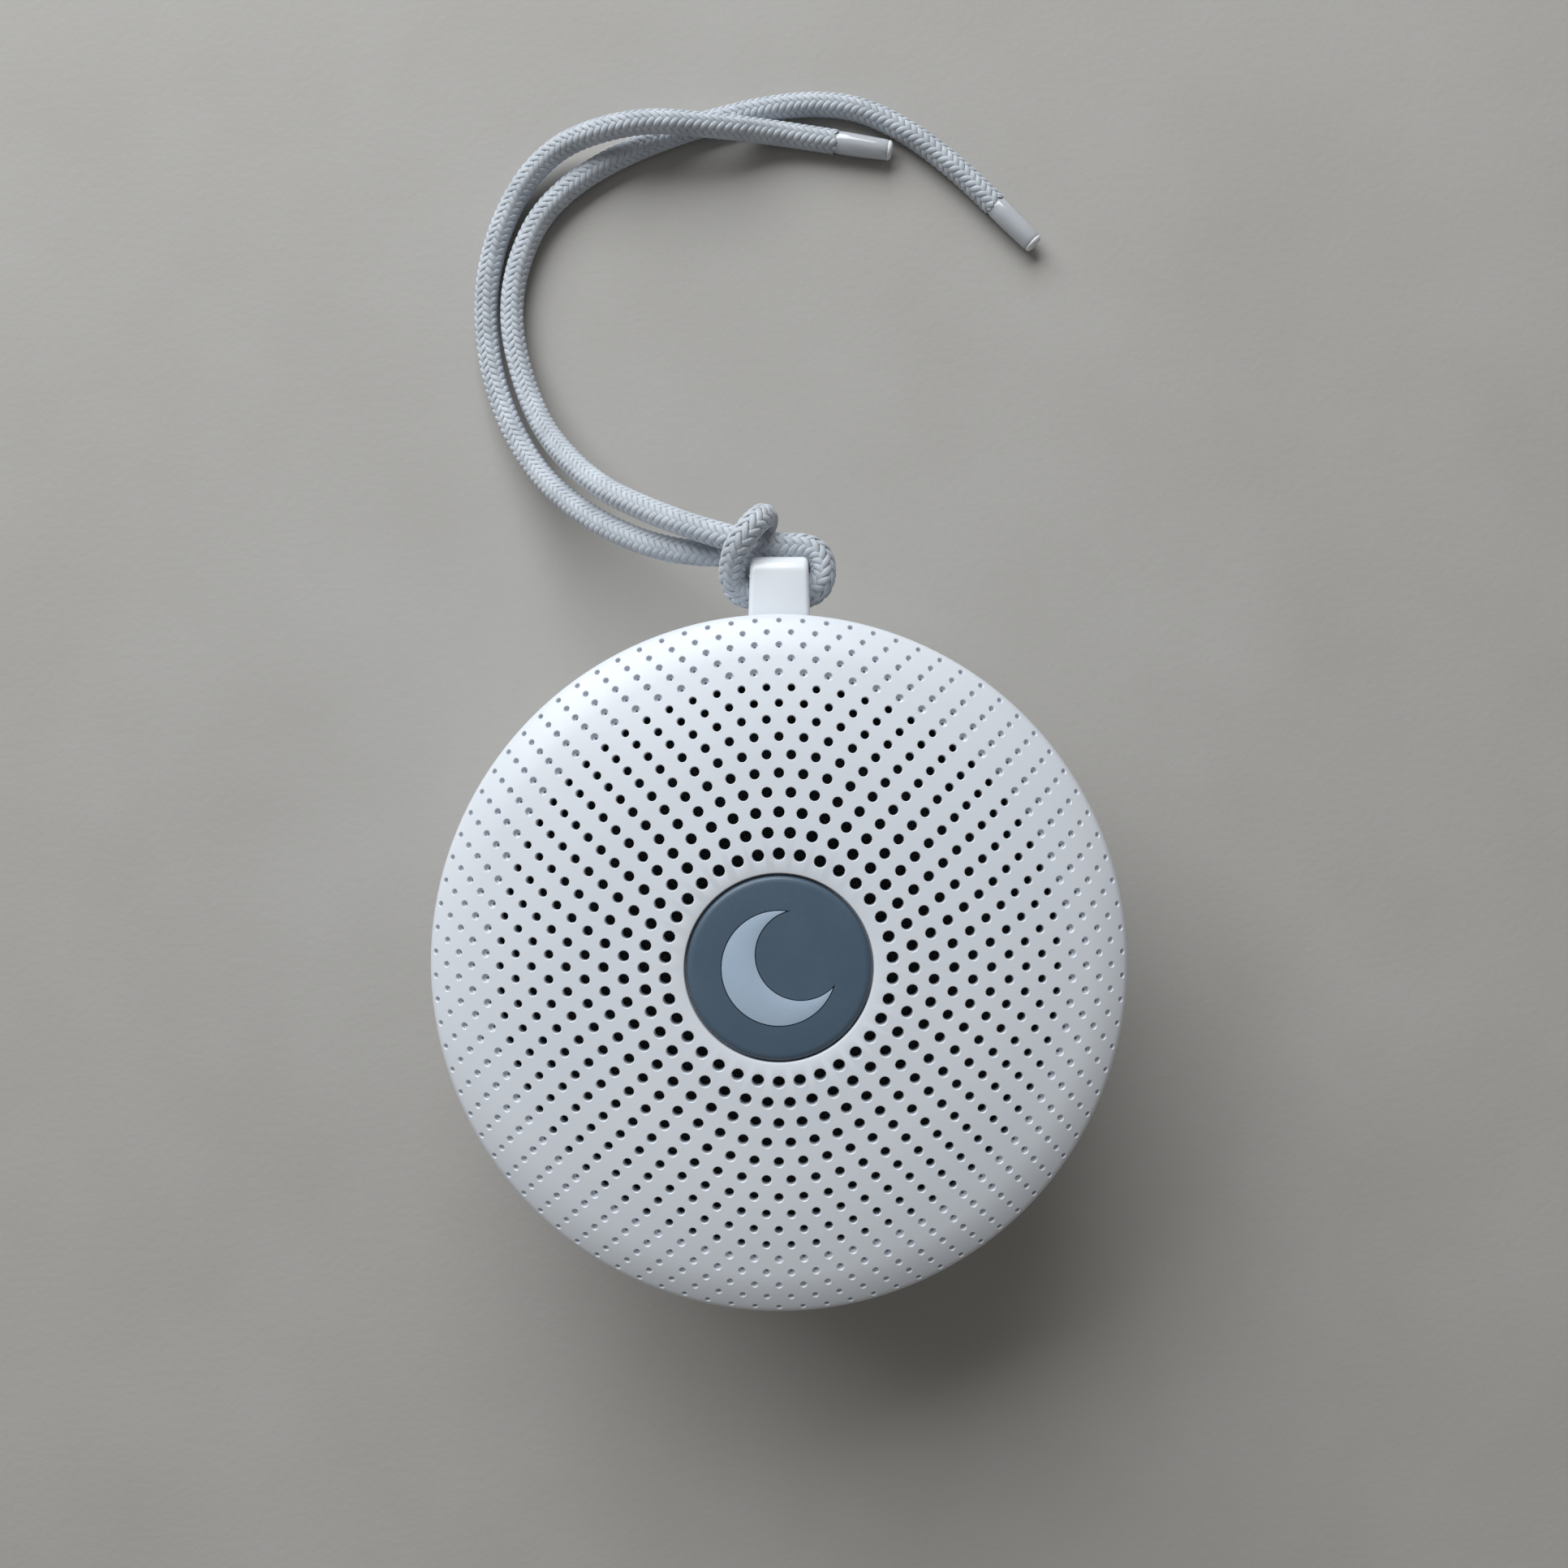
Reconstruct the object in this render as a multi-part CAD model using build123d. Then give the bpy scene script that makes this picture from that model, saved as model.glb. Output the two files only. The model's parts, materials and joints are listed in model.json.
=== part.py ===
from build123d import *
import math
import os

# White noise sound machine: a puck that stands on its base with the speaker grille upwards.
# Millimetres, +Z up. The origin is on the puck's axis, on the surface that it stands on.
# The strap lug points to +Y and the row of buttons to -Y.

# ---- outside sizes ----
RIM_RADIUS = 43.0            # widest radius, round the grille's rim
RIM_OVERHANG = 0.3           # how far the grille's rim stands out past the housing
HOUSING_DRAFT = 0.6          # the side wall narrows by this much towards the desk
WALL = 2.3                   # thickness of the side wall at its foot
PART_GAP = 0.3               # shadow gap under the grille's rim
FIT = 0.2                    # clearance round pieces that slip into each other
ROUND_SIDES = 48             # round outer walls are drawn with this many flats
FLATS = 24                   # inner cavities and boards have 24 flats, which stop them turning
PEG_SIDES = 8                # bosses and wells are drawn eight-sided
SCREW_SIDES = 6              # screws are drawn six-sided
DRIVER_SIDES = 16            # rings of the speaker are drawn sixteen-sided
CUT_OVER = 1.0               # how far a cutting shape runs past the faces that it cuts

# ---- foot and base ----
FOOT_MARGIN = 6.0            # the foot's edge to the circle of the case screws
FOOT_PROUD = 0.8             # how far the foot stands out under the base
FOOT_SUNK = 0.8              # how deep the foot sits in the base
BASE_FLOOR = 1.8
BASE_TOP = 8.5               # height of the joint between base and light ring
BASE_TAPER_RUN = 4.6         # the base narrows by this much towards the desk
BASE_TAPER_RISE = 5.2
RING_HEIGHT = 4.0
RING_INSET = 0.2
RING_DEPTH = 3.4

# ---- battery and board ----
BATTERY_T = 8.0
BATTERY_END_CLEAR = 1.73     # the battery's ends to the board's posts
BATTERY_SIDE_CLEAR = 2.73    # the battery's sides to the case pillars
BATTERY_PAD_T = 0.5
BATTERY_PAD_INSET = 2.0
BATTERY_HEADROOM = 2.5
RIB_HEIGHT = 3.0
RIB_THICKNESS = 1.2
RIB_LENGTH = 30.0
WEB_LIFT = 0.7               # the housing's webs start this far over the light ring
BOARD_T = 1.6
BOARD_CLEAR = 3.4            # the board's edge to the side wall
BOARD_HEADROOM = 4.6         # board to the underside of the speaker
CHIP_SIZES = ((8.0, 7.0, 1.2), (5.0, 4.0, 1.5), (4.0, 4.0, 2.2), (3.2, 3.2, 1.0))
CHIP_PLACES = ((9.0, -12.0), (-8.0, -13.0), (-3.0, 12.0), (13.0, 9.0))
HEADER_SIZE = (7.0, 3.6, 3.2)
PLUG_SIZE = (6.0, 3.6, 2.6)
PLUG_LIFT = 0.3              # the plugs sit this far over the board
SPEAKER_HEADER_INSET = 5.0   # the basket's flange to the middle of the speaker's header
BATTERY_HEADER_INSET = 8.0   # the battery's wires to the middle of its header
WIRE_RADIUS = 0.6
WIRE_SIDES = 4
WIRE_BEND = 1.0              # a wire cuts each corner of its route by this much
WIRE_PITCH = 2.4
WIRE_SLOT = (4.0, 6.0)
BATTERY_WIRE_OUT = 4.0       # the battery's end to where its wires rise
BATTERY_WIRE_RISE = 5.6      # the battery's underside to where its wires start
SPEAKER_WIRE_RISE = 2.0      # the basket's underside to where its wires start
SPEAKER_WIRE_CLEAR = 4.0     # the basket's flange to where the speaker's wires come down

# ---- screws ----
CASE_SCREW_INSET = 6.8       # the cavity's wall to each case screw's axis
CASE_SCREW_AZIMUTHS = (45, 135, 225, 315)
CASE_HEAD_R = 2.4
CASE_HEAD_H = 1.8
CASE_SHANK_R = 1.2
CASE_PILLAR_R = 3.6
CASE_BOSS_R = 3.0
CASE_PILLAR_TOP = 13.0
CASE_BOSS_TOP = 26.0
CASE_SCREW_TIP = 23.0
HEAD_RECESS = 2.4            # how deep the heads sit above the base's outer face
BOARD_SCREW_INSET = 5.4      # the board's edge to each of its screws
BOARD_SCREW_AZIMUTHS = (20, 160, 200, 340)
BOARD_POST_R = 2.4
SMALL_HEAD_R = 1.4
SMALL_HEAD_H = 1.0
SMALL_SHANK_R = 0.8
SMALL_SHANK_LENGTH = 4.7
PILOT_DEPTH = 5.0
SCREW_SLACK = 0.05           # round a shank in its boss

# ---- buttons, charging socket and status light ----
BUTTON_NAMES = ("power_button", "sound_down_button", "light_button", "sound_up_button", "timer_button")
BUTTON_MIDDLE = 270          # azimuth of the middle button
BUTTON_PITCH = 11.02         # along the wall, from one button to the next
BUTTON_WIDTH = 8.0
BUTTON_HEIGHT = 5.2
BUTTON_PROUD = 0.6
BUTTON_TRAVEL = 0.35
BUTTON_GAP = 0.15            # all round a button in its window
BUTTON_FLANGE = 0.9          # how far the inner flange stands out round the button
BUTTON_FLANGE_T = 1.0
SWITCH_SIZE = (3.2, 4.6, 3.6)    # radial, across, high
SWITCH_STEM = 0.7            # free length of a switch's plunger
SWITCH_PROUD = 0.5           # the switches stand out past the board's edge
PLUNGER_SIDE = 1.4
CORNER_SHARE = 0.3           # bevelled corners of the buttons and socket, over their height
POCKET_DEPTH = 1.2
SOCKET_AZIMUTH = 210
SOCKET_SIZE = (7.4, 8.94, 3.26)  # radial, across, high
SOCKET_WALL = 0.3
SOCKET_BACK = 1.0
SOCKET_TONGUE = (6.0, 6.7, 0.7)
SOCKET_RECESS = 0.6          # the socket's mouth lies this deep in the wall
STATUS_AZIMUTH = 330
STATUS_R = 0.9
STATUS_LED_SIZE = (1.6, 2.8, 2.8)
LED_SIZE = (1.6, 2.8, 0.8)
NIGHT_LED_AZIMUTHS = (0, 60, 120, 180, 240, 300)
NIGHT_LED_INSET = 1.8        # the board's edge to the middle of each light

# ---- speaker, bottom to top ----
YOKE_R = 14.0
YOKE_T = 1.8
POLE_R = 5.6
MAGNET_R = 15.5
MAGNET_BORE = 8.5
MAGNET_T = 4.0
TOP_PLATE_T = 1.6
COIL_GAP = 0.4               # each side of the coil in the magnet's gap
COIL_WALL = 0.6
BASKET_T = 0.8
BASKET_DEPTH = 6.8           # under the flange
BASKET_FLOOR_R = 14.8
BASKET_MOUTH_R = 22.6
BASKET_WINDOW = (10.0, 12.0, 3.0)
FLANGE_WIDTH = 3.4
FLANGE_T = 1.2
GASKET_T = 0.8
CONE_INSET = 3.6             # the basket's mouth to the cone's edge
CONE_DEPTH = 4.3
CONE_T = 0.5
CONE_RIM = 1.5               # width of the cone's flat rim
SURROUND_T = 0.4
SURROUND_LAP = 1.2           # how far the surround laps over the cone
SURROUND_ROLL_H = 1.0
SURROUND_ROLL_W = 2.0
SPIDER_T = 0.3
SPIDER_GAP = 0.1
DUST_CAP_R = 7.5
DUST_CAP_TOP_R = 4.6
DUST_CAP_H = 1.6
DUST_CAP_LIFT = 0.6          # the cone's lower end to the dust cap's edge
CONE_TRAVEL = 0.5            # each way from rest
SPEAKER_SCREW_OUT = 1.8      # the basket's mouth to its screws
SPEAKER_SCREW_AZIMUTHS = (45, 135, 225, 315)

# ---- baffle and grille ----
BAFFLE_T = 2.0
LEDGE = 1.1                  # width of the housing's ledge under the baffle
TONGUE_HEIGHT = 2.4
TONGUE_T = 1.7
TONGUE_SEAT = 0.05           # the glue line between tongue and baffle
SKIRT_HEIGHT = 1.9           # straight side of the grille under its rim
CROWN_RADIUS = 320.0
CROWN_INSET = 19.0           # the crown's arc ends this far inside the rim
SHOULDER_RADIUS = 85.0
SHOULDER_INSET = 5.5
EDGE_RADIUS = 17.0
EDGE_INSET = 0.8
CROWN_STEPS = 1              # each arc is drawn as this many bands of flats
SHOULDER_STEPS = 2
EDGE_STEPS = 2
LIP_STEPS = 2
GRILLE_T = 2.3               # thickness in the middle
GRILLE_FLAT_INSET = 16.5     # the underside is flat as far as this inside the rim
GRILLE_HAUNCH = 3.0          # then it slopes down by this much to the tongue
CLOTH_T = 0.4
CLOTH_MARGIN = 3.5           # the cloth's edge to the grille's tongue
CLOTH_GAP = 0.1
RINGS = 15                   # the real grille has fifteen rings of holes
THROUGH_RINGS = 10           # the outer five are blind dimples, over the housing's wall
FIRST_RING_OUT = 2.58        # the cap's edge to the first ring
LAST_RING_INSET = 1.01       # the last ring to the rim
RING_STEP_LOSS = 0.0776      # each step outwards is this much shorter than the last
FIRST_RING_HOLES = 34
EXTRA_HOLES = 4              # each ring has this many more than the last
FIRST_HOLE_R = 0.75
HOLE_R_LOSS = 0.031
DIMPLE_DEPTH = 0.55
HOLE_STRIDE = 2              # every other hole of every other ring is drawn, but not the last ring
HOLE_SIDES = 4               # and each is drawn four-sided

# ---- centre cap ----
CAP_RADIUS = 11.07
CAP_SIDES = 32               # the cap and its crescent are drawn with this many sides
CAP_GAP = 0.25
CAP_T = 1.7
CAP_EDGE = 0.5
CAP_SUNK = 0.15              # the cap's rim lies this far under the crown
CAP_STEM_R = 2.4
CAP_STEM_LENGTH = 3.2
CAP_NUT_R = 4.2
CAP_NUT_T = 0.5
RECESS_FLOOR = 1.6
RECESS_WALL = 1.2
INLAY_RADIUS = 6.85
INLAY_T = 0.7
INLAY_BITE_RADIUS = 5.5
INLAY_BITE_SHIFT = (2.6, 1.6)
INLAY_GROOVE = 0.12

# ---- strap lug ----
LUG_WIDTH_ROOT = 7.9
LUG_WIDTH_END = 7.3
LUG_REACH = 7.8              # past the grille's rim
LUG_BAR = 2.2
LUG_DROP = 0.7               # the lug's top lies this far under the grille's rim gap
EYE_DEPTH = 5.0
EYE_HEIGHT = 8.2
EYE_CORNER = 1.6
LUG_CORNER = 2.2
LUG_FLANGE = 2.0
LUG_FLANGE_T = 1.4

# ---- lanyard: one braided cord, hitched on the lug, drawn as two halves from the hitch's bight ----
# Each point of a route is (across, out from the grille's rim, up).
CORD_REACH = 1.55            # middle to each of four flats; the section is nearly that of a round cord
CORD_SIDES = 4
CORD_TURN = 30               # degrees that the section starts turned by, so that it lies flat on the desk
AGLET_REACH = 1.4
AGLET_LENGTH = 8.6
RUN_SHARE = 0.45             # how much of the shorter run each corner's arc may use
LONG_TAIL = [
    (-1.9, 14.2, 29.7), (-1.9, 14.2, 33.7), (-3.8, 11.8, 36.9), (-6.3, 8.3, 36.1), (-6.7, 3.4, 31.7),
    (6.0, 3.2, 31.7), (6.0, 10.2, 31.7), (-1.2, 10.2, 31.7), (-7.0, 11.3, 30.9), (-16.3, 14.9, 25.5),
    (-26.9, 21.1, 16.4), (-37.0, 33.9, 3.3), (-41.3, 52.6, 1.8), (-32.5, 69.9, 1.8), (-0.1, 81.3, 1.8),
    (18.8, 78.5, 1.8), (32.0, 65.2, 1.8),
]
SHORT_TAIL = [
    (-1.9, 14.2, 29.7), (-1.9, 14.2, 25.7), (-3.8, 11.8, 22.5), (-6.3, 8.1, 22.9), (-6.7, 3.4, 27.7),
    (6.0, 3.2, 27.7), (6.0, 10.2, 27.7), (-1.2, 9.9, 27.6), (-14.2, 9.8, 24.5), (-26.5, 15.8, 15.2),
    (-36.9, 25.7, 5.2), (-43.6, 40.6, 1.8), (-43.9, 57.3, 1.8), (-36.0, 72.5, 2.6), (-21.9, 75.7, 7.1),
    (-8.8, 75.2, 5.8), (-0.6, 76.0, 1.8), (8.3, 74.6, 1.8),
]

# ---- heights that follow from the sizes above ----
base_bottom = FOOT_PROUD
foot_top = base_bottom + FOOT_SUNK
floor_z = foot_top + BASE_FLOOR
battery_bottom = floor_z + BATTERY_PAD_T
board_bottom = battery_bottom + BATTERY_T + BATTERY_HEADROOM
board_top = board_bottom + BOARD_T
ring_top = BASE_TOP + RING_HEIGHT
button_z = board_top + SWITCH_SIZE[2] / 2
socket_z = board_top + SOCKET_SIZE[2] / 2
plug_z = board_top + PLUG_LIFT + PLUG_SIZE[2] / 2
yoke_bottom = board_top + BOARD_HEADROOM
magnet_bottom = yoke_bottom + YOKE_T
top_plate_bottom = magnet_bottom + MAGNET_T
basket_bottom = top_plate_bottom + TOP_PLATE_T
flange_bottom = basket_bottom + BASKET_DEPTH
flange_top = flange_bottom + FLANGE_T
cone_bottom = flange_top - CONE_DEPTH
baffle_top = flange_bottom - GASKET_T
baffle_bottom = baffle_top - BAFFLE_T
housing_top = baffle_top + TONGUE_HEIGHT
skirt_bottom = housing_top + PART_GAP
skirt_top = skirt_bottom + SKIRT_HEIGHT

# ---- radii that follow ----
housing_top_r = RIM_RADIUS - RIM_OVERHANG
housing_foot_r = housing_top_r - HOUSING_DRAFT
cavity_r = housing_foot_r - WALL
rabbet_r = cavity_r + LEDGE
tongue_r = rabbet_r - FIT
recess_r = CAP_RADIUS + CAP_GAP
board_reach = cavity_r - BOARD_CLEAR
case_screw_r = cavity_r - CASE_SCREW_INSET
board_screw_r = board_reach - BOARD_SCREW_INSET
foot_r = case_screw_r - FOOT_MARGIN
first_post = math.radians(BOARD_SCREW_AZIMUTHS[0])
first_pillar = math.radians(CASE_SCREW_AZIMUTHS[0])
battery_length = 2 * (board_screw_r * math.cos(first_post) - BOARD_POST_R - BATTERY_END_CLEAR)
battery_width = 2 * (case_screw_r * math.sin(first_pillar) - CASE_PILLAR_R - BATTERY_SIDE_CLEAR)
flange_in = cavity_r - FIT / 2 - BUTTON_FLANGE_T
switch_front = board_reach + SWITCH_PROUD
socket_mouth = housing_foot_r - SOCKET_RECESS
battery_wire_x = battery_length / 2 + BATTERY_WIRE_OUT
battery_header_r = battery_wire_x - BATTERY_HEADER_INSET
plug_reach = HEADER_SIZE[1] / 2 + PLUG_SIZE[1]   # middle of a header to where its wires come out
button_step = math.degrees(BUTTON_PITCH / housing_foot_r)
button_azimuths = [BUTTON_MIDDLE + button_step * place for place in (-2, -1, 0, 1, 2)]
flange_r = BASKET_MOUTH_R + FLANGE_WIDTH
speaker_header_r = flange_r - SPEAKER_HEADER_INSET
cone_r = BASKET_MOUTH_R - CONE_INSET
speaker_screw_r = BASKET_MOUTH_R + SPEAKER_SCREW_OUT
speaker_wire_out = flange_r + SPEAKER_WIRE_CLEAR
grille_flat_r = RIM_RADIUS - GRILLE_FLAT_INSET
cloth_r = tongue_r - TONGUE_T - CLOTH_MARGIN
first_ring_r = CAP_RADIUS + FIRST_RING_OUT
last_ring_r = RIM_RADIUS - LAST_RING_INSET
coil_bore = POLE_R + COIL_GAP
coil_r = coil_bore + COIL_WALL


def polygon(reach, sides):
    """Regular outline; reach is from the middle to each flat, and one flat faces +X."""
    return RegularPolygon(reach, sides, major_radius=False, rotation=180 / sides)


def prism(reach, low, high, sides):
    return Pos(0, 0, low) * extrude(polygon(reach, sides), high - low)


def tube(reach, bore, low, high, sides):
    return Pos(0, 0, low) * extrude(polygon(reach, sides) - polygon(bore, sides), high - low)


def frustum(low_reach, low, high_reach, high, sides):
    """Flat-sided cone, drawn from its wide end towards its narrow end."""
    lean = math.degrees(math.atan(abs(low_reach - high_reach) / (high - low)))
    if low_reach > high_reach:
        return Pos(0, 0, low) * extrude(polygon(low_reach, sides), high - low, taper=lean)
    return Pos(0, 0, high) * Rot(180, 0, 0) * extrude(polygon(high_reach, sides), high - low, taper=lean)


def block(size, middle_low):
    """Box that stands on the point middle_low."""
    return Pos(*middle_low) * Box(*size, align=(Align.CENTER, Align.CENTER, Align.MIN))


def around(azimuth, shape):
    """Turn a shape that was drawn on the +X side to the given azimuth."""
    return Rot(0, 0, azimuth) * shape


def ring_of(azimuths, shape):
    return [around(azimuth, shape) for azimuth in azimuths]


def write(node, shapes):
    """One solid, or a group of separate solids of the same kind, goes to one file."""
    solids = []
    for shape in shapes:
        solids.extend(shape.solids())
    body = solids[0] if len(solids) == 1 else Compound(children=solids)
    body.label = node
    export_step(body, "parts/" + node + ".step")


# ---- base ----
def make_foot():
    return prism(foot_r, 0, foot_top, FLATS)


def make_base():
    bottom_r = housing_foot_r - BASE_TAPER_RUN
    taper_top = base_bottom + BASE_TAPER_RISE
    shell = frustum(bottom_r, base_bottom, housing_foot_r, taper_top, ROUND_SIDES)
    shell = shell + prism(housing_foot_r, taper_top, BASE_TOP, ROUND_SIDES)
    shell = shell - frustum(bottom_r - WALL, floor_z, cavity_r, taper_top, FLATS)
    shell = shell - prism(cavity_r, taper_top, BASE_TOP, FLATS)
    shell = shell - prism(foot_r + FIT, base_bottom, foot_top, FLATS)
    pillar = Pos(case_screw_r, 0, 0) * prism(CASE_PILLAR_R, floor_z, CASE_PILLAR_TOP, PEG_SIDES)
    post = Pos(board_screw_r, 0, 0) * prism(BOARD_POST_R, floor_z, board_bottom, PEG_SIDES)
    rib = block((RIB_LENGTH, RIB_THICKNESS, RIB_HEIGHT), (0, 0, floor_z))
    rib_y = battery_width / 2 + FIT + RIB_THICKNESS / 2
    shell = shell + ring_of(CASE_SCREW_AZIMUTHS, pillar) + ring_of(BOARD_SCREW_AZIMUTHS, post)
    shell = shell + Pos(0, rib_y, 0) * rib + Pos(0, -rib_y, 0) * rib
    head_z = base_bottom + HEAD_RECESS + CASE_HEAD_H
    well = Pos(case_screw_r, 0, 0) * prism(CASE_HEAD_R + FIT, base_bottom, head_z, PEG_SIDES)
    bore = Pos(case_screw_r, 0, 0) * prism(CASE_SHANK_R + FIT, head_z, CASE_PILLAR_TOP, SCREW_SIDES)
    pilot = Pos(board_screw_r, 0, 0) * prism(
        SMALL_SHANK_R + SCREW_SLACK, board_bottom - PILOT_DEPTH, board_bottom, SCREW_SIDES
    )
    shell = shell - ring_of(CASE_SCREW_AZIMUTHS, well) - ring_of(CASE_SCREW_AZIMUTHS, bore)
    return shell - ring_of(BOARD_SCREW_AZIMUTHS, pilot)


def make_case_screws():
    head_z = base_bottom + HEAD_RECESS + CASE_HEAD_H
    screw = prism(CASE_HEAD_R, head_z - CASE_HEAD_H, head_z, PEG_SIDES)
    screw = screw + prism(CASE_SHANK_R, head_z, CASE_SCREW_TIP, SCREW_SIDES)
    return ring_of(CASE_SCREW_AZIMUTHS, Pos(case_screw_r, 0, 0) * screw)


def make_light_ring():
    outer = housing_foot_r - RING_INSET
    ring = prism(outer, BASE_TOP, ring_top, ROUND_SIDES)
    return ring - prism(outer - RING_DEPTH, BASE_TOP, ring_top, FLATS)


# ---- side housing ----
def bar(width, height, inner, outer, level):
    """Bar with bevelled corners that runs outwards along +X from radius inner to radius outer."""
    outline = Rectangle(width, height)
    outline = chamfer(outline.vertices(), CORNER_SHARE * height)
    return Plane(origin=(inner, 0, level), x_dir=(0, 1, 0), z_dir=(1, 0, 0)) * extrude(outline, outer - inner)


def peg(reach, inner, outer):
    """Eight-sided rod that runs outwards along +X at the height of the buttons."""
    return Pos(inner, 0, button_z) * Rot(0, 90, 0) * prism(reach, 0, outer - inner, PEG_SIDES)


def make_housing():
    shell = frustum(housing_foot_r, ring_top, housing_top_r, housing_top, ROUND_SIDES)
    shell = shell - prism(cavity_r, ring_top, baffle_bottom, FLATS)
    shell = shell - prism(rabbet_r, baffle_bottom, housing_top, FLATS)
    boss_low = CASE_PILLAR_TOP + FIT
    boss = Pos(case_screw_r, 0, 0) * prism(CASE_BOSS_R, boss_low, CASE_BOSS_TOP, PEG_SIDES)
    web_out = (cavity_r + housing_foot_r) / 2
    web_low = ring_top + WEB_LIFT
    web_size = (web_out - case_screw_r, RIB_THICKNESS, CASE_BOSS_TOP - web_low)
    web = block(web_size, ((web_out + case_screw_r) / 2, 0, web_low))
    bore = Pos(case_screw_r, 0, 0) * prism(
        CASE_SHANK_R + SCREW_SLACK, boss_low, CASE_SCREW_TIP + CUT_OVER, SCREW_SIDES
    )
    shell = shell + ring_of(CASE_SCREW_AZIMUTHS, boss + web) - ring_of(CASE_SCREW_AZIMUTHS, bore)
    inner = cavity_r - CUT_OVER
    window = bar(BUTTON_WIDTH + 2 * BUTTON_GAP, BUTTON_HEIGHT + 2 * BUTTON_GAP, inner, RIM_RADIUS, button_z)
    shell = shell - ring_of(button_azimuths, window)
    mouth = bar(SOCKET_SIZE[1] + 2 * FIT, SOCKET_SIZE[2] + 2 * FIT, inner, RIM_RADIUS, socket_z)
    shell = shell - around(SOCKET_AZIMUTH, mouth)
    shell = shell - around(STATUS_AZIMUTH, peg(STATUS_R + FIT / 2, inner, RIM_RADIUS))
    notch = block(
        (LUG_WIDTH_ROOT + 2 * FIT, 2 * WALL, housing_top - lug_bottom() + FIT + CUT_OVER),
        (0, housing_foot_r - WALL / 2, lug_bottom() - FIT),
    )
    return shell - notch


# ---- strap lug ----
def lug_top():
    return housing_top - LUG_DROP + PART_GAP


def lug_bottom():
    return lug_top() - EYE_HEIGHT - 2 * LUG_BAR


def make_lug():
    root = rabbet_r + FIT
    end = RIM_RADIUS + LUG_REACH
    height = lug_top() - lug_bottom()
    side = Pos((root + end) / 2, (lug_top() + lug_bottom()) / 2) * Rectangle(end - root, height)
    side = fillet(side.vertices().group_by(Axis.X)[-1], LUG_CORNER)
    eye = Pos(end - LUG_BAR - EYE_DEPTH / 2, (lug_top() + lug_bottom()) / 2) * RectangleRounded(
        EYE_DEPTH, EYE_HEIGHT, EYE_CORNER
    )
    lug = extrude(Plane.YZ * (side - eye), LUG_WIDTH_ROOT / 2, both=True)
    taper = (LUG_WIDTH_ROOT - LUG_WIDTH_END) / 2
    plan = Polyline(
        (-LUG_WIDTH_ROOT / 2, root),
        (LUG_WIDTH_ROOT / 2, root),
        (LUG_WIDTH_ROOT / 2 - taper, end),
        (-LUG_WIDTH_ROOT / 2 + taper, end),
        close=True,
    )
    lug = lug & extrude(Pos(0, 0, lug_bottom()) * make_face(plan), height)
    stem_top = baffle_bottom - FIT
    stem_y = cavity_r - FIT - LUG_FLANGE_T
    stem = block(
        (LUG_WIDTH_ROOT, root - stem_y, stem_top - lug_bottom()), (0, (root + stem_y) / 2, lug_bottom())
    )
    flange = block(
        (LUG_WIDTH_ROOT + 2 * LUG_FLANGE, LUG_FLANGE_T, stem_top - lug_bottom()),
        (0, stem_y + LUG_FLANGE_T / 2, lug_bottom()),
    )
    return lug + stem + flange


# ---- board and what stands on it ----
def make_battery_pad():
    length = battery_length - 2 * BATTERY_PAD_INSET
    width = battery_width - 2 * BATTERY_PAD_INSET
    return block((length, width, BATTERY_PAD_T), (0, 0, floor_z))


def make_battery():
    return block((battery_length, battery_width, BATTERY_T), (0, 0, battery_bottom))


def make_board():
    board = prism(board_reach, board_bottom, board_top, FLATS)
    notch_half = CASE_PILLAR_R + 2 * FIT
    notch_in = case_screw_r - notch_half
    notch_size = (RIM_RADIUS - notch_in, 2 * notch_half, BOARD_T)
    notch = block(notch_size, ((RIM_RADIUS + notch_in) / 2, 0, board_bottom))
    hole = Pos(board_screw_r, 0, 0) * prism(SMALL_SHANK_R + FIT, board_bottom, board_top, SCREW_SIDES)
    slot = block((*WIRE_SLOT, BOARD_T), (-battery_wire_x, 0, board_bottom))
    board = board - ring_of(CASE_SCREW_AZIMUTHS, notch) - ring_of(BOARD_SCREW_AZIMUTHS, hole)
    return board - slot


def small_screw(head_bottom):
    screw = prism(SMALL_HEAD_R, head_bottom, head_bottom + SMALL_HEAD_H, SCREW_SIDES)
    return screw + prism(SMALL_SHANK_R, head_bottom - SMALL_SHANK_LENGTH, head_bottom, SCREW_SIDES)


def make_board_screws():
    return ring_of(BOARD_SCREW_AZIMUTHS, Pos(board_screw_r, 0, 0) * small_screw(board_top))


def make_chips():
    return [block(size, (x, y, board_top)) for size, (x, y) in zip(CHIP_SIZES, CHIP_PLACES)]


def make_headers():
    header = block(HEADER_SIZE, (0, 0, board_top))
    return [Pos(0, speaker_header_r, 0) * header, Pos(-battery_header_r, 0, 0) * Rot(0, 0, 90) * header]


def make_plug(header_r):
    """Wire plug on the +Y side of a header that stands this far from the axis."""
    return block(PLUG_SIZE, (0, header_r + plug_reach - PLUG_SIZE[1] / 2, board_top + PLUG_LIFT))


def make_wires(route):
    """Two parallel wires; route gives (out from the axis, height) pairs in a radial plane."""
    wires = []
    for side in (-WIRE_PITCH / 2, WIRE_PITCH / 2):
        points = [(out, side, z) for out, z in cut_corners(route, WIRE_BEND)]
        path = Polyline(*points)
        section = Plane(origin=points[0], z_dir=path % 0) * polygon(WIRE_RADIUS, WIRE_SIDES)
        wires.append(sweep(section, path=path, transition=Transition.RIGHT))
    return wires


def cut_corners(route, bend):
    """The same route, with a short slanting run in place of each corner."""
    points = [route[0]]
    for before, corner, after in zip(route, route[1:], route[2:]):
        for end in (before, after):
            share = bend / math.dist(corner, end)
            points.append(tuple(c + (e - c) * share for c, e in zip(corner, end)))
    return points + [route[-1]]


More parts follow.
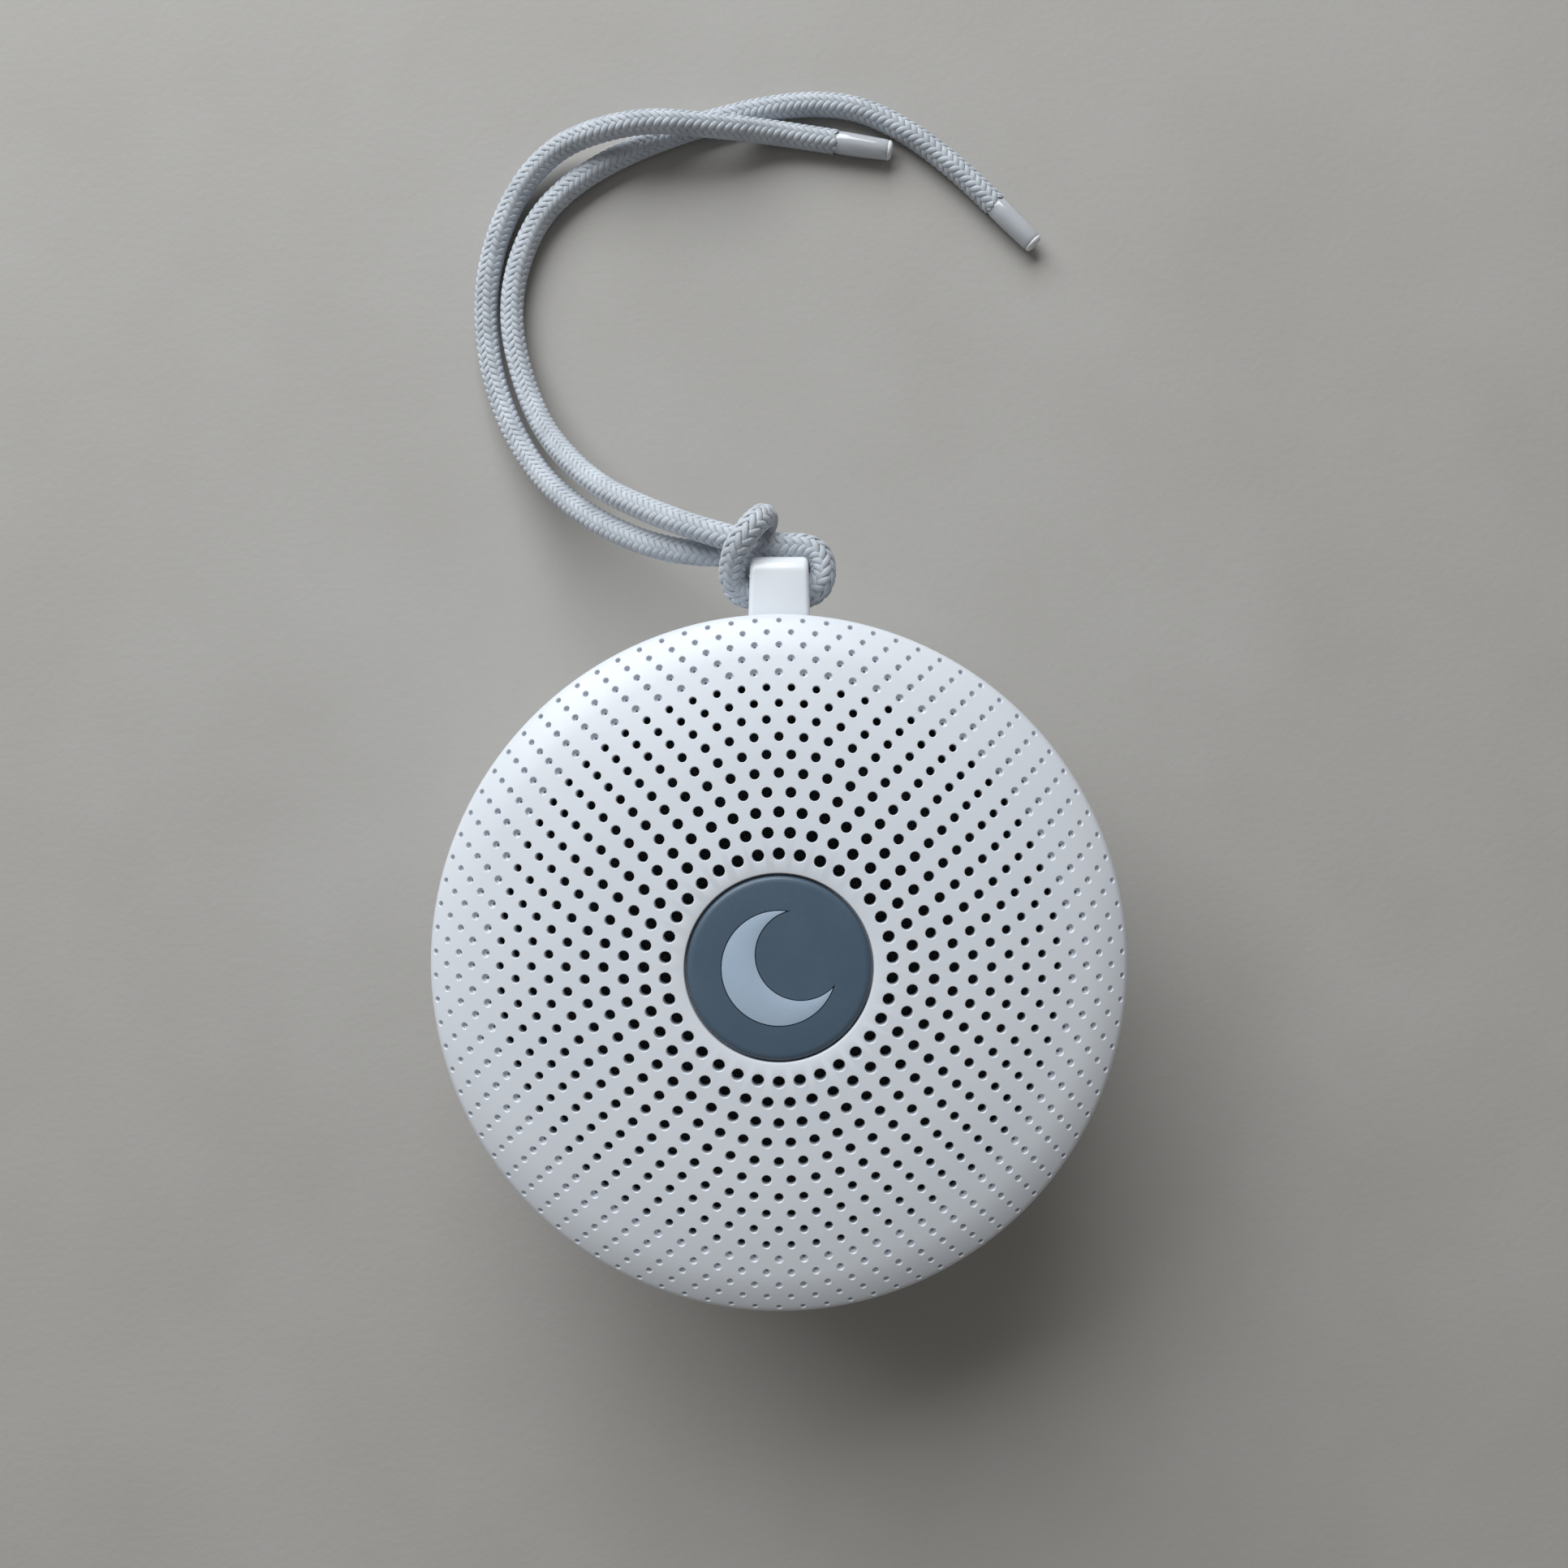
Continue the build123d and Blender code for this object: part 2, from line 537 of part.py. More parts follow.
def make_battery_wires():
    start_z = battery_bottom + BATTERY_WIRE_RISE
    route = [
        (battery_length / 2, start_z),
        (battery_wire_x, start_z),
        (battery_wire_x, plug_z),
        (battery_header_r + plug_reach, plug_z),
    ]
    return [around(180, wire) for wire in make_wires(route)]


def make_speaker_wires():
    slope = (BASKET_MOUTH_R - BASKET_FLOOR_R) / BASKET_DEPTH
    start_out = BASKET_FLOOR_R + SPEAKER_WIRE_RISE * slope + 2 * WIRE_RADIUS
    start_z = basket_bottom + SPEAKER_WIRE_RISE
    route = [
        (start_out, start_z),
        (speaker_wire_out, start_z),
        (speaker_wire_out, plug_z),
        (speaker_header_r + plug_reach, plug_z),
    ]
    return [around(90, wire) for wire in make_wires(route)]


def make_switches():
    body = block(SWITCH_SIZE, (switch_front - SWITCH_SIZE[0] / 2, 0, board_top))
    pocket_side = PLUNGER_SIDE + 2 * FIT
    pocket = Pos(switch_front - POCKET_DEPTH / 2, 0, button_z) * Box(POCKET_DEPTH, pocket_side, pocket_side)
    return ring_of(button_azimuths, body - pocket)


def make_plunger(azimuth):
    low = switch_front - POCKET_DEPTH + BUTTON_TRAVEL + FIT
    high = switch_front + SWITCH_STEM
    plunger = Pos((low + high) / 2, 0, button_z) * Box(high - low, PLUNGER_SIDE, PLUNGER_SIDE)
    return around(azimuth, plunger)


def make_button(azimuth):
    width = BUTTON_WIDTH + 2 * BUTTON_FLANGE
    height = BUTTON_HEIGHT + 2 * BUTTON_FLANGE
    flange = Pos(flange_in + BUTTON_FLANGE_T / 2, 0, button_z) * Box(BUTTON_FLANGE_T, width, height)
    cap = bar(BUTTON_WIDTH, BUTTON_HEIGHT, flange_in, housing_foot_r + BUTTON_PROUD, button_z)
    nub_in = switch_front + SWITCH_STEM
    nub = Pos((nub_in + flange_in) / 2, 0, button_z) * Box(flange_in - nub_in, PLUNGER_SIDE, PLUNGER_SIDE)
    return around(azimuth, cap + flange + nub)


def make_socket_shell():
    length, width, height = SOCKET_SIZE
    shell = bar(width, height, socket_mouth - length, socket_mouth, socket_z)
    inside_from = socket_mouth - length + SOCKET_BACK
    inside = bar(width - 2 * SOCKET_WALL, height - 2 * SOCKET_WALL, inside_from, socket_mouth, socket_z)
    return around(SOCKET_AZIMUTH, shell - inside)


def make_socket_tongue():
    back = socket_mouth - SOCKET_SIZE[0] + SOCKET_BACK
    tongue = Pos(back + SOCKET_TONGUE[0] / 2, 0, socket_z) * Box(*SOCKET_TONGUE)
    return around(SOCKET_AZIMUTH, tongue)


def make_status_led():
    led = block(STATUS_LED_SIZE, (board_reach - STATUS_LED_SIZE[0] / 2, 0, board_top))
    return around(STATUS_AZIMUTH, led)


def make_light_pipe():
    return around(STATUS_AZIMUTH, peg(STATUS_R, board_reach + FIT, housing_foot_r))


def make_night_leds():
    led = block(LED_SIZE, (board_reach - NIGHT_LED_INSET, 0, board_bottom - LED_SIZE[2]))
    return ring_of(NIGHT_LED_AZIMUTHS, led)


# ---- speaker ----
def make_yoke():
    yoke = prism(YOKE_R, yoke_bottom, magnet_bottom, DRIVER_SIDES)
    return yoke + prism(POLE_R, magnet_bottom, basket_bottom, DRIVER_SIDES)


def make_magnet():
    return tube(MAGNET_R, MAGNET_BORE, magnet_bottom, top_plate_bottom, DRIVER_SIDES)


def make_top_plate():
    return tube(YOKE_R, coil_r + COIL_GAP, top_plate_bottom, basket_bottom, DRIVER_SIDES)


def make_basket():
    wall = frustum(BASKET_FLOOR_R, basket_bottom, BASKET_MOUTH_R, flange_bottom, DRIVER_SIDES)
    flange = prism(flange_r, flange_bottom, flange_top, DRIVER_SIDES)
    inside = frustum(
        BASKET_FLOOR_R - BASKET_T,
        basket_bottom + BASKET_T,
        BASKET_MOUTH_R - BASKET_T,
        flange_bottom,
        DRIVER_SIDES,
    )
    mouth = prism(BASKET_MOUTH_R - BASKET_T, flange_bottom, flange_top, DRIVER_SIDES)
    bore = prism(coil_r + COIL_GAP, basket_bottom, basket_bottom + BASKET_T, DRIVER_SIDES)
    window_x = (BASKET_FLOOR_R + BASKET_MOUTH_R) / 2
    window = Pos(window_x, 0, basket_bottom + BASKET_DEPTH / 2) * Box(*BASKET_WINDOW)
    basket = wall + flange - inside - mouth - bore - ring_of((0, 180), window)
    return basket - speaker_screw_holes(flange_bottom, flange_top)


def speaker_screw_holes(low, high):
    hole = Pos(speaker_screw_r, 0, 0) * prism(SMALL_SHANK_R + FIT, low, high, SCREW_SIDES)
    return ring_of(SPEAKER_SCREW_AZIMUTHS, hole)


def make_gasket():
    ring = tube(flange_r, BASKET_MOUTH_R + FIT, baffle_top, flange_bottom, DRIVER_SIDES)
    return ring - speaker_screw_holes(baffle_top, flange_bottom)


def make_speaker_screws():
    return ring_of(SPEAKER_SCREW_AZIMUTHS, Pos(speaker_screw_r, 0, 0) * small_screw(flange_top))


def make_coil():
    return tube(coil_r, coil_bore, top_plate_bottom, cone_bottom, DRIVER_SIDES)


def make_cone():
    outside = frustum(coil_r, cone_bottom, cone_r, flange_top - CONE_T, DRIVER_SIDES)
    outside = outside + prism(cone_r, flange_top - CONE_T, flange_top, DRIVER_SIDES)
    return outside - frustum(coil_bore, cone_bottom, cone_r - CONE_RIM, flange_top, DRIVER_SIDES)


def make_surround():
    flat_top = flange_top + SURROUND_T
    flat = tube(BASKET_MOUTH_R, cone_r - SURROUND_LAP, flange_top, flat_top, DRIVER_SIDES)
    roll_r = (cone_r + BASKET_MOUTH_R - BASKET_T + SURROUND_ROLL_W) / 2
    return flat + tube(roll_r, roll_r - SURROUND_ROLL_W, flat_top, flat_top + SURROUND_ROLL_H, DRIVER_SIDES)


def make_spider():
    level = (basket_bottom + BASKET_T + cone_bottom) / 2
    rise = (level - basket_bottom - BASKET_T) / (BASKET_DEPTH - BASKET_T)
    reach = BASKET_FLOOR_R - BASKET_T + rise * (BASKET_MOUTH_R - BASKET_FLOOR_R) - FIT
    return tube(reach, coil_r + SPIDER_GAP, level, level + SPIDER_T, DRIVER_SIDES)


def make_dust_cap():
    low = cone_bottom + DUST_CAP_LIFT
    return frustum(DUST_CAP_R, low, DUST_CAP_TOP_R, low + DUST_CAP_H, DRIVER_SIDES)


def make_baffle():
    plate = tube(rabbet_r - FIT, BASKET_MOUTH_R + FIT, baffle_bottom, baffle_top, FLATS)
    pilot = Pos(speaker_screw_r, 0, 0) * prism(
        SMALL_SHANK_R + SCREW_SLACK, baffle_bottom, baffle_top, SCREW_SIDES
    )
    return plate - ring_of(SPEAKER_SCREW_AZIMUTHS, pilot)


# ---- grille ----
def arc_drop(radius, start_sine, end_sine):
    return radius * (math.sqrt(1 - start_sine**2) - math.sqrt(1 - end_sine**2))


crown_sine = (RIM_RADIUS - CROWN_INSET) / CROWN_RADIUS
shoulder_sine = crown_sine + (CROWN_INSET - SHOULDER_INSET) / SHOULDER_RADIUS
edge_sine = shoulder_sine + (SHOULDER_INSET - EDGE_INSET) / EDGE_RADIUS
lip_radius = EDGE_INSET / (1 - edge_sine)
dome_arcs = (
    (CROWN_RADIUS, 0, crown_sine, CROWN_STEPS),
    (SHOULDER_RADIUS, crown_sine, shoulder_sine, SHOULDER_STEPS),
    (EDGE_RADIUS, shoulder_sine, edge_sine, EDGE_STEPS),
    (lip_radius, edge_sine, 1, LIP_STEPS),
)
dome_height = sum(arc_drop(radius, start, end) for radius, start, end, steps in dome_arcs)
crown_z = skirt_top + dome_height
under_z = crown_z - GRILLE_T
tongue_z = under_z - GRILLE_HAUNCH


def dome_points():
    """Points down the grille's outside, from the axis to its rim: four arcs, tangent to each other."""
    points = [(0, crown_z)]
    for radius, start_sine, end_sine, steps in dome_arcs:
        start_x, start_z = points[-1]
        start_angle = math.asin(start_sine)
        turn = math.asin(end_sine) - start_angle
        for step in range(steps):
            angle = start_angle + turn * (step + 1) / steps
            x = start_x + radius * (math.sin(angle) - start_sine)
            points.append((x, start_z - arc_drop(radius, start_sine, math.sin(angle))))
    return points


def dome_surface(radius):
    """Height and slope, in degrees, of the grille's outside at a distance from the axis."""
    points = dome_points()
    for (near, high), (far, low) in zip(points, points[1:]):
        if near <= radius <= far:
            fall = (high - low) / (far - near)
            return high - fall * (radius - near), math.degrees(math.atan(fall))
    return skirt_top, 0


def drawn_holes():
    """Ring, distance from the axis, bearing and size of each drawn hole. Odd rings are staggered."""
    steps = RINGS - 1
    first_step = (last_ring_r - first_ring_r + steps * (steps - 1) / 2 * RING_STEP_LOSS) / steps
    for ring in range(0, RINGS - 1, HOLE_STRIDE):
        radius = first_ring_r + ring * first_step - ring * (ring - 1) / 2 * RING_STEP_LOSS
        count = FIRST_RING_HOLES + EXTRA_HOLES * ring
        for index in range(0, count, HOLE_STRIDE):
            bearing = 90 - 360 * (index + 0.5 * (ring % 2)) / count
            yield ring, radius, bearing, FIRST_HOLE_R - HOLE_R_LOSS * ring


def make_holes():
    """Cutting shapes: straight holes in the inner rings, then blind dimples square to the surface."""
    cuts = []
    for ring, radius, bearing, size in drawn_holes():
        level, slope = dome_surface(radius)
        if ring < THROUGH_RINGS:
            hole = Pos(radius, 0, 0) * prism(size, tongue_z, crown_z + CUT_OVER, HOLE_SIDES)
        else:
            hole = prism(size, -DIMPLE_DEPTH, CUT_OVER, HOLE_SIDES)
            hole = Pos(radius, 0, level) * Rot(0, slope, 0) * hole
        cuts.append(around(bearing, hole))
    return cuts


def make_grille():
    points = dome_points()
    crown_r, crown_foot = points[CROWN_STEPS]
    shell = prism(RIM_RADIUS, skirt_bottom, skirt_top, ROUND_SIDES)
    for (near, high), (far, low) in zip(points[CROWN_STEPS:], points[CROWN_STEPS + 1:]):
        shell = shell + frustum(far, low, near, high, ROUND_SIDES)
    crown_reach = crown_r * math.cos(math.pi / FLATS)
    shell = shell + frustum(crown_reach, crown_foot, recess_r + RECESS_WALL, crown_z - CAP_SUNK, FLATS)
    tongue_low = baffle_top + TONGUE_SEAT
    shell = shell + prism(tongue_r, tongue_low, skirt_bottom, FLATS)
    shell = shell - prism(tongue_r - TONGUE_T, tongue_low, tongue_z, FLATS)
    shell = shell - frustum(tongue_r - TONGUE_T, tongue_z, grille_flat_r, under_z, FLATS)
    recess_z = crown_z - CAP_SUNK - CAP_T
    shell = shell + prism(recess_r + RECESS_WALL, recess_z - RECESS_FLOOR, under_z, FLATS)
    shell = shell - prism(recess_r, recess_z, crown_z + CUT_OVER, CAP_SIDES)
    shell = shell - prism(CAP_STEM_R + FIT / 2, recess_z - RECESS_FLOOR, recess_z, PEG_SIDES)
    return shell - make_holes()


def make_cloth():
    """Thin liner that follows the grille's underside."""
    top = under_z - CLOTH_GAP
    slope = GRILLE_HAUNCH / (tongue_r - TONGUE_T - grille_flat_r)
    low = top - (cloth_r - grille_flat_r) * slope
    outer = frustum(cloth_r, low, grille_flat_r, top, FLATS) + prism(cloth_r, low - CLOTH_T, low, FLATS)
    inner = frustum(cloth_r, low - CLOTH_T, grille_flat_r, top - CLOTH_T, FLATS)
    return outer - inner - prism(recess_r + RECESS_WALL + FIT, low - CLOTH_T, top, FLATS)


# ---- centre cap ----
def make_cap():
    top = crown_z - CAP_SUNK
    cap = prism(CAP_RADIUS, top - CAP_T, top, CAP_SIDES)
    cap = chamfer(cap.edges().group_by(Axis.Z)[-1], CAP_EDGE)
    stem = prism(CAP_STEM_R, top - CAP_T - CAP_STEM_LENGTH, top - CAP_T, PEG_SIDES)
    return cap + stem - moon(INLAY_GROOVE, top - INLAY_T - FIT / 2, top)


def moon(margin, low, high):
    """Crescent: a disc with a smaller disc bitten out of it."""
    bite = Pos(*INLAY_BITE_SHIFT) * polygon(INLAY_BITE_RADIUS - margin, CAP_SIDES)
    return Pos(0, 0, low) * extrude(polygon(INLAY_RADIUS + margin, CAP_SIDES) - bite, high - low)


def make_inlay():
    top = crown_z - CAP_SUNK
    return moon(0, top - INLAY_T, top)


def make_cap_nut():
    high = crown_z - CAP_SUNK - CAP_T - RECESS_FLOOR
    return tube(CAP_NUT_R, CAP_STEM_R + SCREW_SLACK, high - CAP_NUT_T, high, PEG_SIDES)


# ---- lanyard ----
def from_rim(route):
    return [(x, RIM_RADIUS + out, z) for x, out, z in route]


def corner_radii(points):
    """Each corner's arc is as large as its two runs allow."""
    radii = []
    for before, corner, after in zip(points, points[1:], points[2:]):
        run_in = Vector(*corner) - Vector(*before)
        run_out = Vector(*after) - Vector(*corner)
        half_turn = math.radians(run_in.get_angle(run_out) / 2)
        radii.append(RUN_SHARE * min(run_in.length, run_out.length) / math.tan(half_turn))
    return radii


def make_cord(points):
    radii = corner_radii(points)
    print("cord radii", [round(radius, 1) for radius in radii])
    path = FilletPolyline(*points, radius=radii)
    start = Plane(origin=points[0], x_dir=(1, 0, 0), z_dir=path % 0)
    section = start * Rot(0, 0, CORD_TURN) * polygon(CORD_REACH, CORD_SIDES)
    cord = sweep(section, path=path)
    print("cord length", round(path.length, 1), "volume over section", round(cord.volume / section.area, 1))
    return cord


def make_aglet(points):
    """Sleeve that goes on from the cord's end, the way that its last run points."""
    heading = Vector(*points[-1]) - Vector(*points[-2])
    section = Plane(origin=points[-1], z_dir=heading) * polygon(AGLET_REACH, CORD_SIDES)
    return extrude(section, AGLET_LENGTH)


def main():
    os.makedirs("parts", exist_ok=True)
    write("foot_pad", [make_foot()])
    write("base_cover", [make_base()])
    write("case_screws", make_case_screws())
    write("light_ring", [make_light_ring()])
    write("main_housing", [make_housing()])
    write("strap_lug", [make_lug()])
    write("battery_pad", [make_battery_pad()])
    write("battery_cell", [make_battery()])
    write("battery_wires", make_battery_wires())
    write("battery_plug", [around(90, make_plug(battery_header_r))])
    write("main_board", [make_board()])
    write("board_screws", make_board_screws())
    write("board_chips", make_chips())
    write("wire_headers", make_headers())
    write("switch_bodies", make_switches())
    write("usb_c_shell", [make_socket_shell()])
    write("usb_c_tongue", [make_socket_tongue()])
    write("status_led", [make_status_led()])
    write("status_light_pipe", [make_light_pipe()])
    write("night_leds", make_night_leds())
    write("speaker_yoke", [make_yoke()])
    write("speaker_magnet", [make_magnet()])
    write("speaker_top_plate", [make_top_plate()])
    write("speaker_basket", [make_basket()])
    write("speaker_gasket", [make_gasket()])
    write("speaker_screws", make_speaker_screws())
    write("speaker_spider", [make_spider()])
    write("speaker_surround", [make_surround()])
    write("speaker_cone", [make_cone()])
    write("voice_coil", [make_coil()])
    write("speaker_dust_cap", [make_dust_cap()])
    write("speaker_wires", make_speaker_wires())
    write("speaker_plug", [make_plug(speaker_header_r)])
    write("baffle_plate", [make_baffle()])
    write("dust_cloth", [make_cloth()])
    write("grille", [make_grille()])
    write("centre_cap", [make_cap()])
    write("cap_inlay", [make_inlay()])
    write("cap_push_nut", [make_cap_nut()])
    for name, azimuth in zip(BUTTON_NAMES, button_azimuths):
        write(name, [make_button(azimuth)])
        write(name.replace("button", "plunger"), [make_plunger(azimuth)])
    write("lanyard_long", [make_cord(from_rim(LONG_TAIL))])
    write("lanyard_short", [make_cord(from_rim(SHORT_TAIL))])
    write("aglet_long", [make_aglet(from_rim(LONG_TAIL))])
    write("aglet_short", [make_aglet(from_rim(SHORT_TAIL))])
    print("overall height", round(crown_z, 2), "crown over rim", round(dome_height, 2))


main()
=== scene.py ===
import json
import math

import bmesh
import bpy
import numpy as np
from mathutils import Matrix, Vector

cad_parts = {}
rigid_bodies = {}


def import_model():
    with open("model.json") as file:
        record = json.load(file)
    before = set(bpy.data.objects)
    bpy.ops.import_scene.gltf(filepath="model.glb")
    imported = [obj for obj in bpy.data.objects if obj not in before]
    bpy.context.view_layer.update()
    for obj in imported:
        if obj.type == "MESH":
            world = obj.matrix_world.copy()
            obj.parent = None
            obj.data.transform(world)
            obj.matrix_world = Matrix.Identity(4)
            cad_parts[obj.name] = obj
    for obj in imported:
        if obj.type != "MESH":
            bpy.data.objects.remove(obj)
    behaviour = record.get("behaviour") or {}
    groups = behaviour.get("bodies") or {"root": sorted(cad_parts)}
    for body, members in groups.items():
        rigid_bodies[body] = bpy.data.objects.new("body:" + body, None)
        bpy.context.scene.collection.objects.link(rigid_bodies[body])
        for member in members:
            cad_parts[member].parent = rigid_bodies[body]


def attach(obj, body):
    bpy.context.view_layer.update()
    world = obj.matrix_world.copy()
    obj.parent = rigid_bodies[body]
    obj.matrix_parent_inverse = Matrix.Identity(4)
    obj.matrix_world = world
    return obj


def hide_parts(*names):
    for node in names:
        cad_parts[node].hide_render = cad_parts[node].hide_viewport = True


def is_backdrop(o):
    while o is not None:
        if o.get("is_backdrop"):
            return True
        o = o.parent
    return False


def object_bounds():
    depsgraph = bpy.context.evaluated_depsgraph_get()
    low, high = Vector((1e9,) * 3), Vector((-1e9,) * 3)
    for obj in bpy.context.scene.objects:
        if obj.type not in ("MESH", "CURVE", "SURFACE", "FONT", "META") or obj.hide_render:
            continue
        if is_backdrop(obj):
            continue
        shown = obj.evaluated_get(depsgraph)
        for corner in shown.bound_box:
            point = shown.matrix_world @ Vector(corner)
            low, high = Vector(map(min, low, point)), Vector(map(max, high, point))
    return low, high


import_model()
cad_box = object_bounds()
MM = 0.001

# ---- Camera ----
# The machine lies on a table and is looked at from straight above, with its strap lug away from the viewer.
# The lens is a moderate wide angle, 22 cm above the table.


def new_object(name, data):
    """Object with this data, put in the scene."""
    piece = bpy.data.objects.new(name, data)
    bpy.context.scene.collection.objects.link(piece)
    return piece


eye = bpy.data.cameras.new("camera")
eye.lens = 33.3
eye.sensor_width = 36.0
eye.clip_start = 0.01
camera = new_object("camera", eye)
camera.location = (0.0006, 0.0220, 0.2178)
bpy.context.scene.camera = camera
bpy.context.scene.view_settings.view_transform = "Standard"

# ---- Moulded plastic ----
# The housing, base, lug, grille and keys are injection moulded ABS with a fine satin skin. The same skin,
# with other colours and grain, covers the rubber, nylon and metal pieces.
SKIN_SOCKETS = (
    ("Dark", "NodeSocketColor", (0.5, 0.5, 0.5, 1)), ("Light", "NodeSocketColor", (0.6, 0.6, 0.6, 1)),
    ("Mottle Scale", "NodeSocketFloat", 60.0), ("Grain Scale", "NodeSocketFloat", 2500.0),
    ("Low Roughness", "NodeSocketFloat", 0.3), ("High Roughness", "NodeSocketFloat", 0.45),
)


def feed(tree, socket, value):
    """Gives an input another node's output or a constant; a colour is three linear numbers."""
    if isinstance(value, bpy.types.NodeSocket):
        tree.links.new(value, socket)
    else:
        socket.default_value = (*value, 1) if socket.type == "RGBA" else value


def add_node(tree, kind, group=None, **values):
    """New shader node with these input values."""
    node = tree.nodes.new("ShaderNode" + kind)
    if group:
        node.node_tree = group
    for label, value in values.items():
        feed(tree, node.inputs[label], value)
    return node


def own_place(tree):
    """Vector in the machine's own frame."""
    return add_node(tree, "TexCoord").outputs["Object"]


def noise(tree, place, scale, **more):
    return add_node(tree, "TexNoise", Vector=place, Scale=scale, **more).outputs["Fac"]


def mix_colours(tree, factor, low, high):
    """Colour between two colours."""
    node = tree.nodes.new("ShaderNodeMix")
    node.data_type = "RGBA"
    for label, value in (("Factor", factor), ("A", low), ("B", high)):
        feed(tree, node.inputs[label], value)
    return node.outputs["Result"]


def new_group(name, inputs, outputs):
    """Empty node group, what it is given and what it puts out."""
    group = bpy.data.node_groups.new(name, "ShaderNodeTree")
    for label, kind, value in inputs:
        group.interface.new_socket(name=label, in_out="INPUT", socket_type=kind).default_value = value
    for label, kind in outputs:
        group.interface.new_socket(name=label, in_out="OUTPUT", socket_type=kind)
    return group, group.nodes.new("NodeGroupInput").outputs, group.nodes.new("NodeGroupOutput").inputs


def moulded_skin_group():
    """Two tones in a broad mottle, and a fine grain that moves the roughness and the height."""
    outputs = (("Colour", "NodeSocketColor"), ("Roughness", "NodeSocketFloat"), ("Height", "NodeSocketFloat"))
    group, given, put_out = new_group("moulded skin", SKIN_SOCKETS, outputs)
    place = own_place(group)
    mottle = noise(group, place, given["Mottle Scale"], Detail=4.0)
    grain = noise(group, place, given["Grain Scale"], Detail=2.0)
    spread = add_node(group, "MapRange", Value=mottle, **{"From Min": 0.3, "From Max": 0.7})
    rough = {"To Min": given["Low Roughness"], "To Max": given["High Roughness"]}
    gloss = add_node(group, "MapRange", Value=grain, **{"From Min": 0.25, "From Max": 0.75}, **rough)
    tone = mix_colours(group, spread.outputs["Result"], given["Dark"], given["Light"])
    feed(group, put_out["Colour"], tone)
    feed(group, put_out["Roughness"], gloss.outputs["Result"])
    feed(group, put_out["Height"], grain)
    return group


moulded_skin = moulded_skin_group()


def new_material(name):
    """Empty material with a Principled shader, and its node tree."""
    material = bpy.data.materials.new(name)
    material.use_nodes = True
    return material, material.node_tree


def dress(material, colour, roughness, height=None, relief=0.0, strength=0.7, **more):
    """Connects a material's shader; relief is the height's depth in millimetres, more is any other input."""
    tree = material.node_tree
    shader = tree.nodes["Principled BSDF"]
    if height:
        bump = add_node(tree, "Bump", Height=height, Strength=strength, Distance=relief * MM)
        more["Normal"] = bump.outputs["Normal"]
    for label, value in {"Base Color": colour, "Roughness": roughness, **more}.items():
        feed(tree, shader.inputs[label], value)
    return material


def skin_material(name, dark, light, mottle=60.0, grain=2500.0, rough=(0.3, 0.45), relief=0.01, metal=0.0):
    """Material with the moulded skin. Colours are linear; relief is in millimetres."""
    material, tree = new_material(name)
    scales = {"Mottle Scale": mottle, "Grain Scale": grain}
    roughness = {"Low Roughness": rough[0], "High Roughness": rough[1]}
    skin = add_node(tree, "Group", moulded_skin, Dark=dark, Light=light, **scales, **roughness).outputs
    return dress(material, skin["Colour"], skin["Roughness"], skin["Height"], relief, 0.5, Metallic=metal)


white_plastic = skin_material(
    "satin white plastic", (0.668, 0.708, 0.768), (0.712, 0.750, 0.806), 45.0, 2600.0, (0.30, 0.42), 0.012
)

# ---- Foot ----
# A round mat of silicone rubber, glued into a recess under the base, so that the machine doesn't slide or
# pass its vibration on to the table. Fine rings are moulded in its underside.
FOOT_R = 27.0
foot_rubber = skin_material(
    "grey silicone rubber", (0.20, 0.21, 0.22), (0.25, 0.26, 0.27), 80.0, 1800.0, (0.55, 0.75), 0.02
)


def primitive(name, add, **sizes):
    """Blender's own primitive, under a name and alone selected."""
    bpy.ops.object.select_all(action="DESELECT")
    add(**sizes)
    piece = bpy.context.active_object
    piece.name = piece.data.name = name
    return piece


def lathe(name, profile, steps, axis_start=(0, 0, 0), axis=(0, 0, 1)):
    """Solid of revolution from (radius, height) pairs in millimetres, extruded point by point and spun."""
    piece = primitive(name, bpy.ops.mesh.primitive_plane_add, size=MM)
    bpy.ops.object.mode_set(mode="EDIT")
    bpy.ops.mesh.select_all(action="SELECT")
    bpy.ops.mesh.merge(type="CENTER")
    last = (0.0, 0.0)
    for count, (radius, height) in enumerate(profile):
        move = ((radius - last[0]) * MM, 0, (height - last[1]) * MM)
        if count == 0:
            bpy.ops.transform.translate(value=move)
        else:
            bpy.ops.mesh.extrude_region_move(TRANSFORM_OT_translate={"value": move})
        last = (radius, height)
    bpy.ops.mesh.select_all(action="SELECT")
    bpy.ops.mesh.spin(steps=steps, angle=2 * math.pi, center=(0, 0, 0), axis=(0, 0, 1))
    bpy.ops.mesh.select_all(action="SELECT")
    bpy.ops.mesh.remove_doubles(threshold=0.002 * MM)
    bpy.ops.mesh.normals_make_consistent(inside=False)
    bpy.ops.object.mode_set(mode="OBJECT")
    turn = Vector((0, 0, 1)).rotation_difference(Vector(axis)).to_matrix().to_4x4()
    piece.data.transform(Matrix.Translation(Vector(axis_start)) @ turn)
    return piece


def pick(*pieces):
    """Selects these pieces alone and makes the first one active."""
    for obj in bpy.context.view_layer.objects:
        obj.select_set(False)
    for piece in pieces:
        piece.select_set(True)
    bpy.context.view_layer.objects.active = pieces[0]


def round_off(piece, degrees=35):
    """Smooth shading, with edges sharper than the angle left crisp."""
    pick(piece)
    bpy.ops.object.shade_smooth_by_angle(angle=math.radians(degrees))


def finish_piece(piece, material, slot, *nodes, body="housing", crisp=35):
    """Gives a finished mesh its material and its place in the assembly."""
    piece.data.materials.clear()
    piece.data.materials.append(material)
    round_off(piece, crisp)
    if nodes:
        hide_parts(*nodes)
    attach(piece, body)


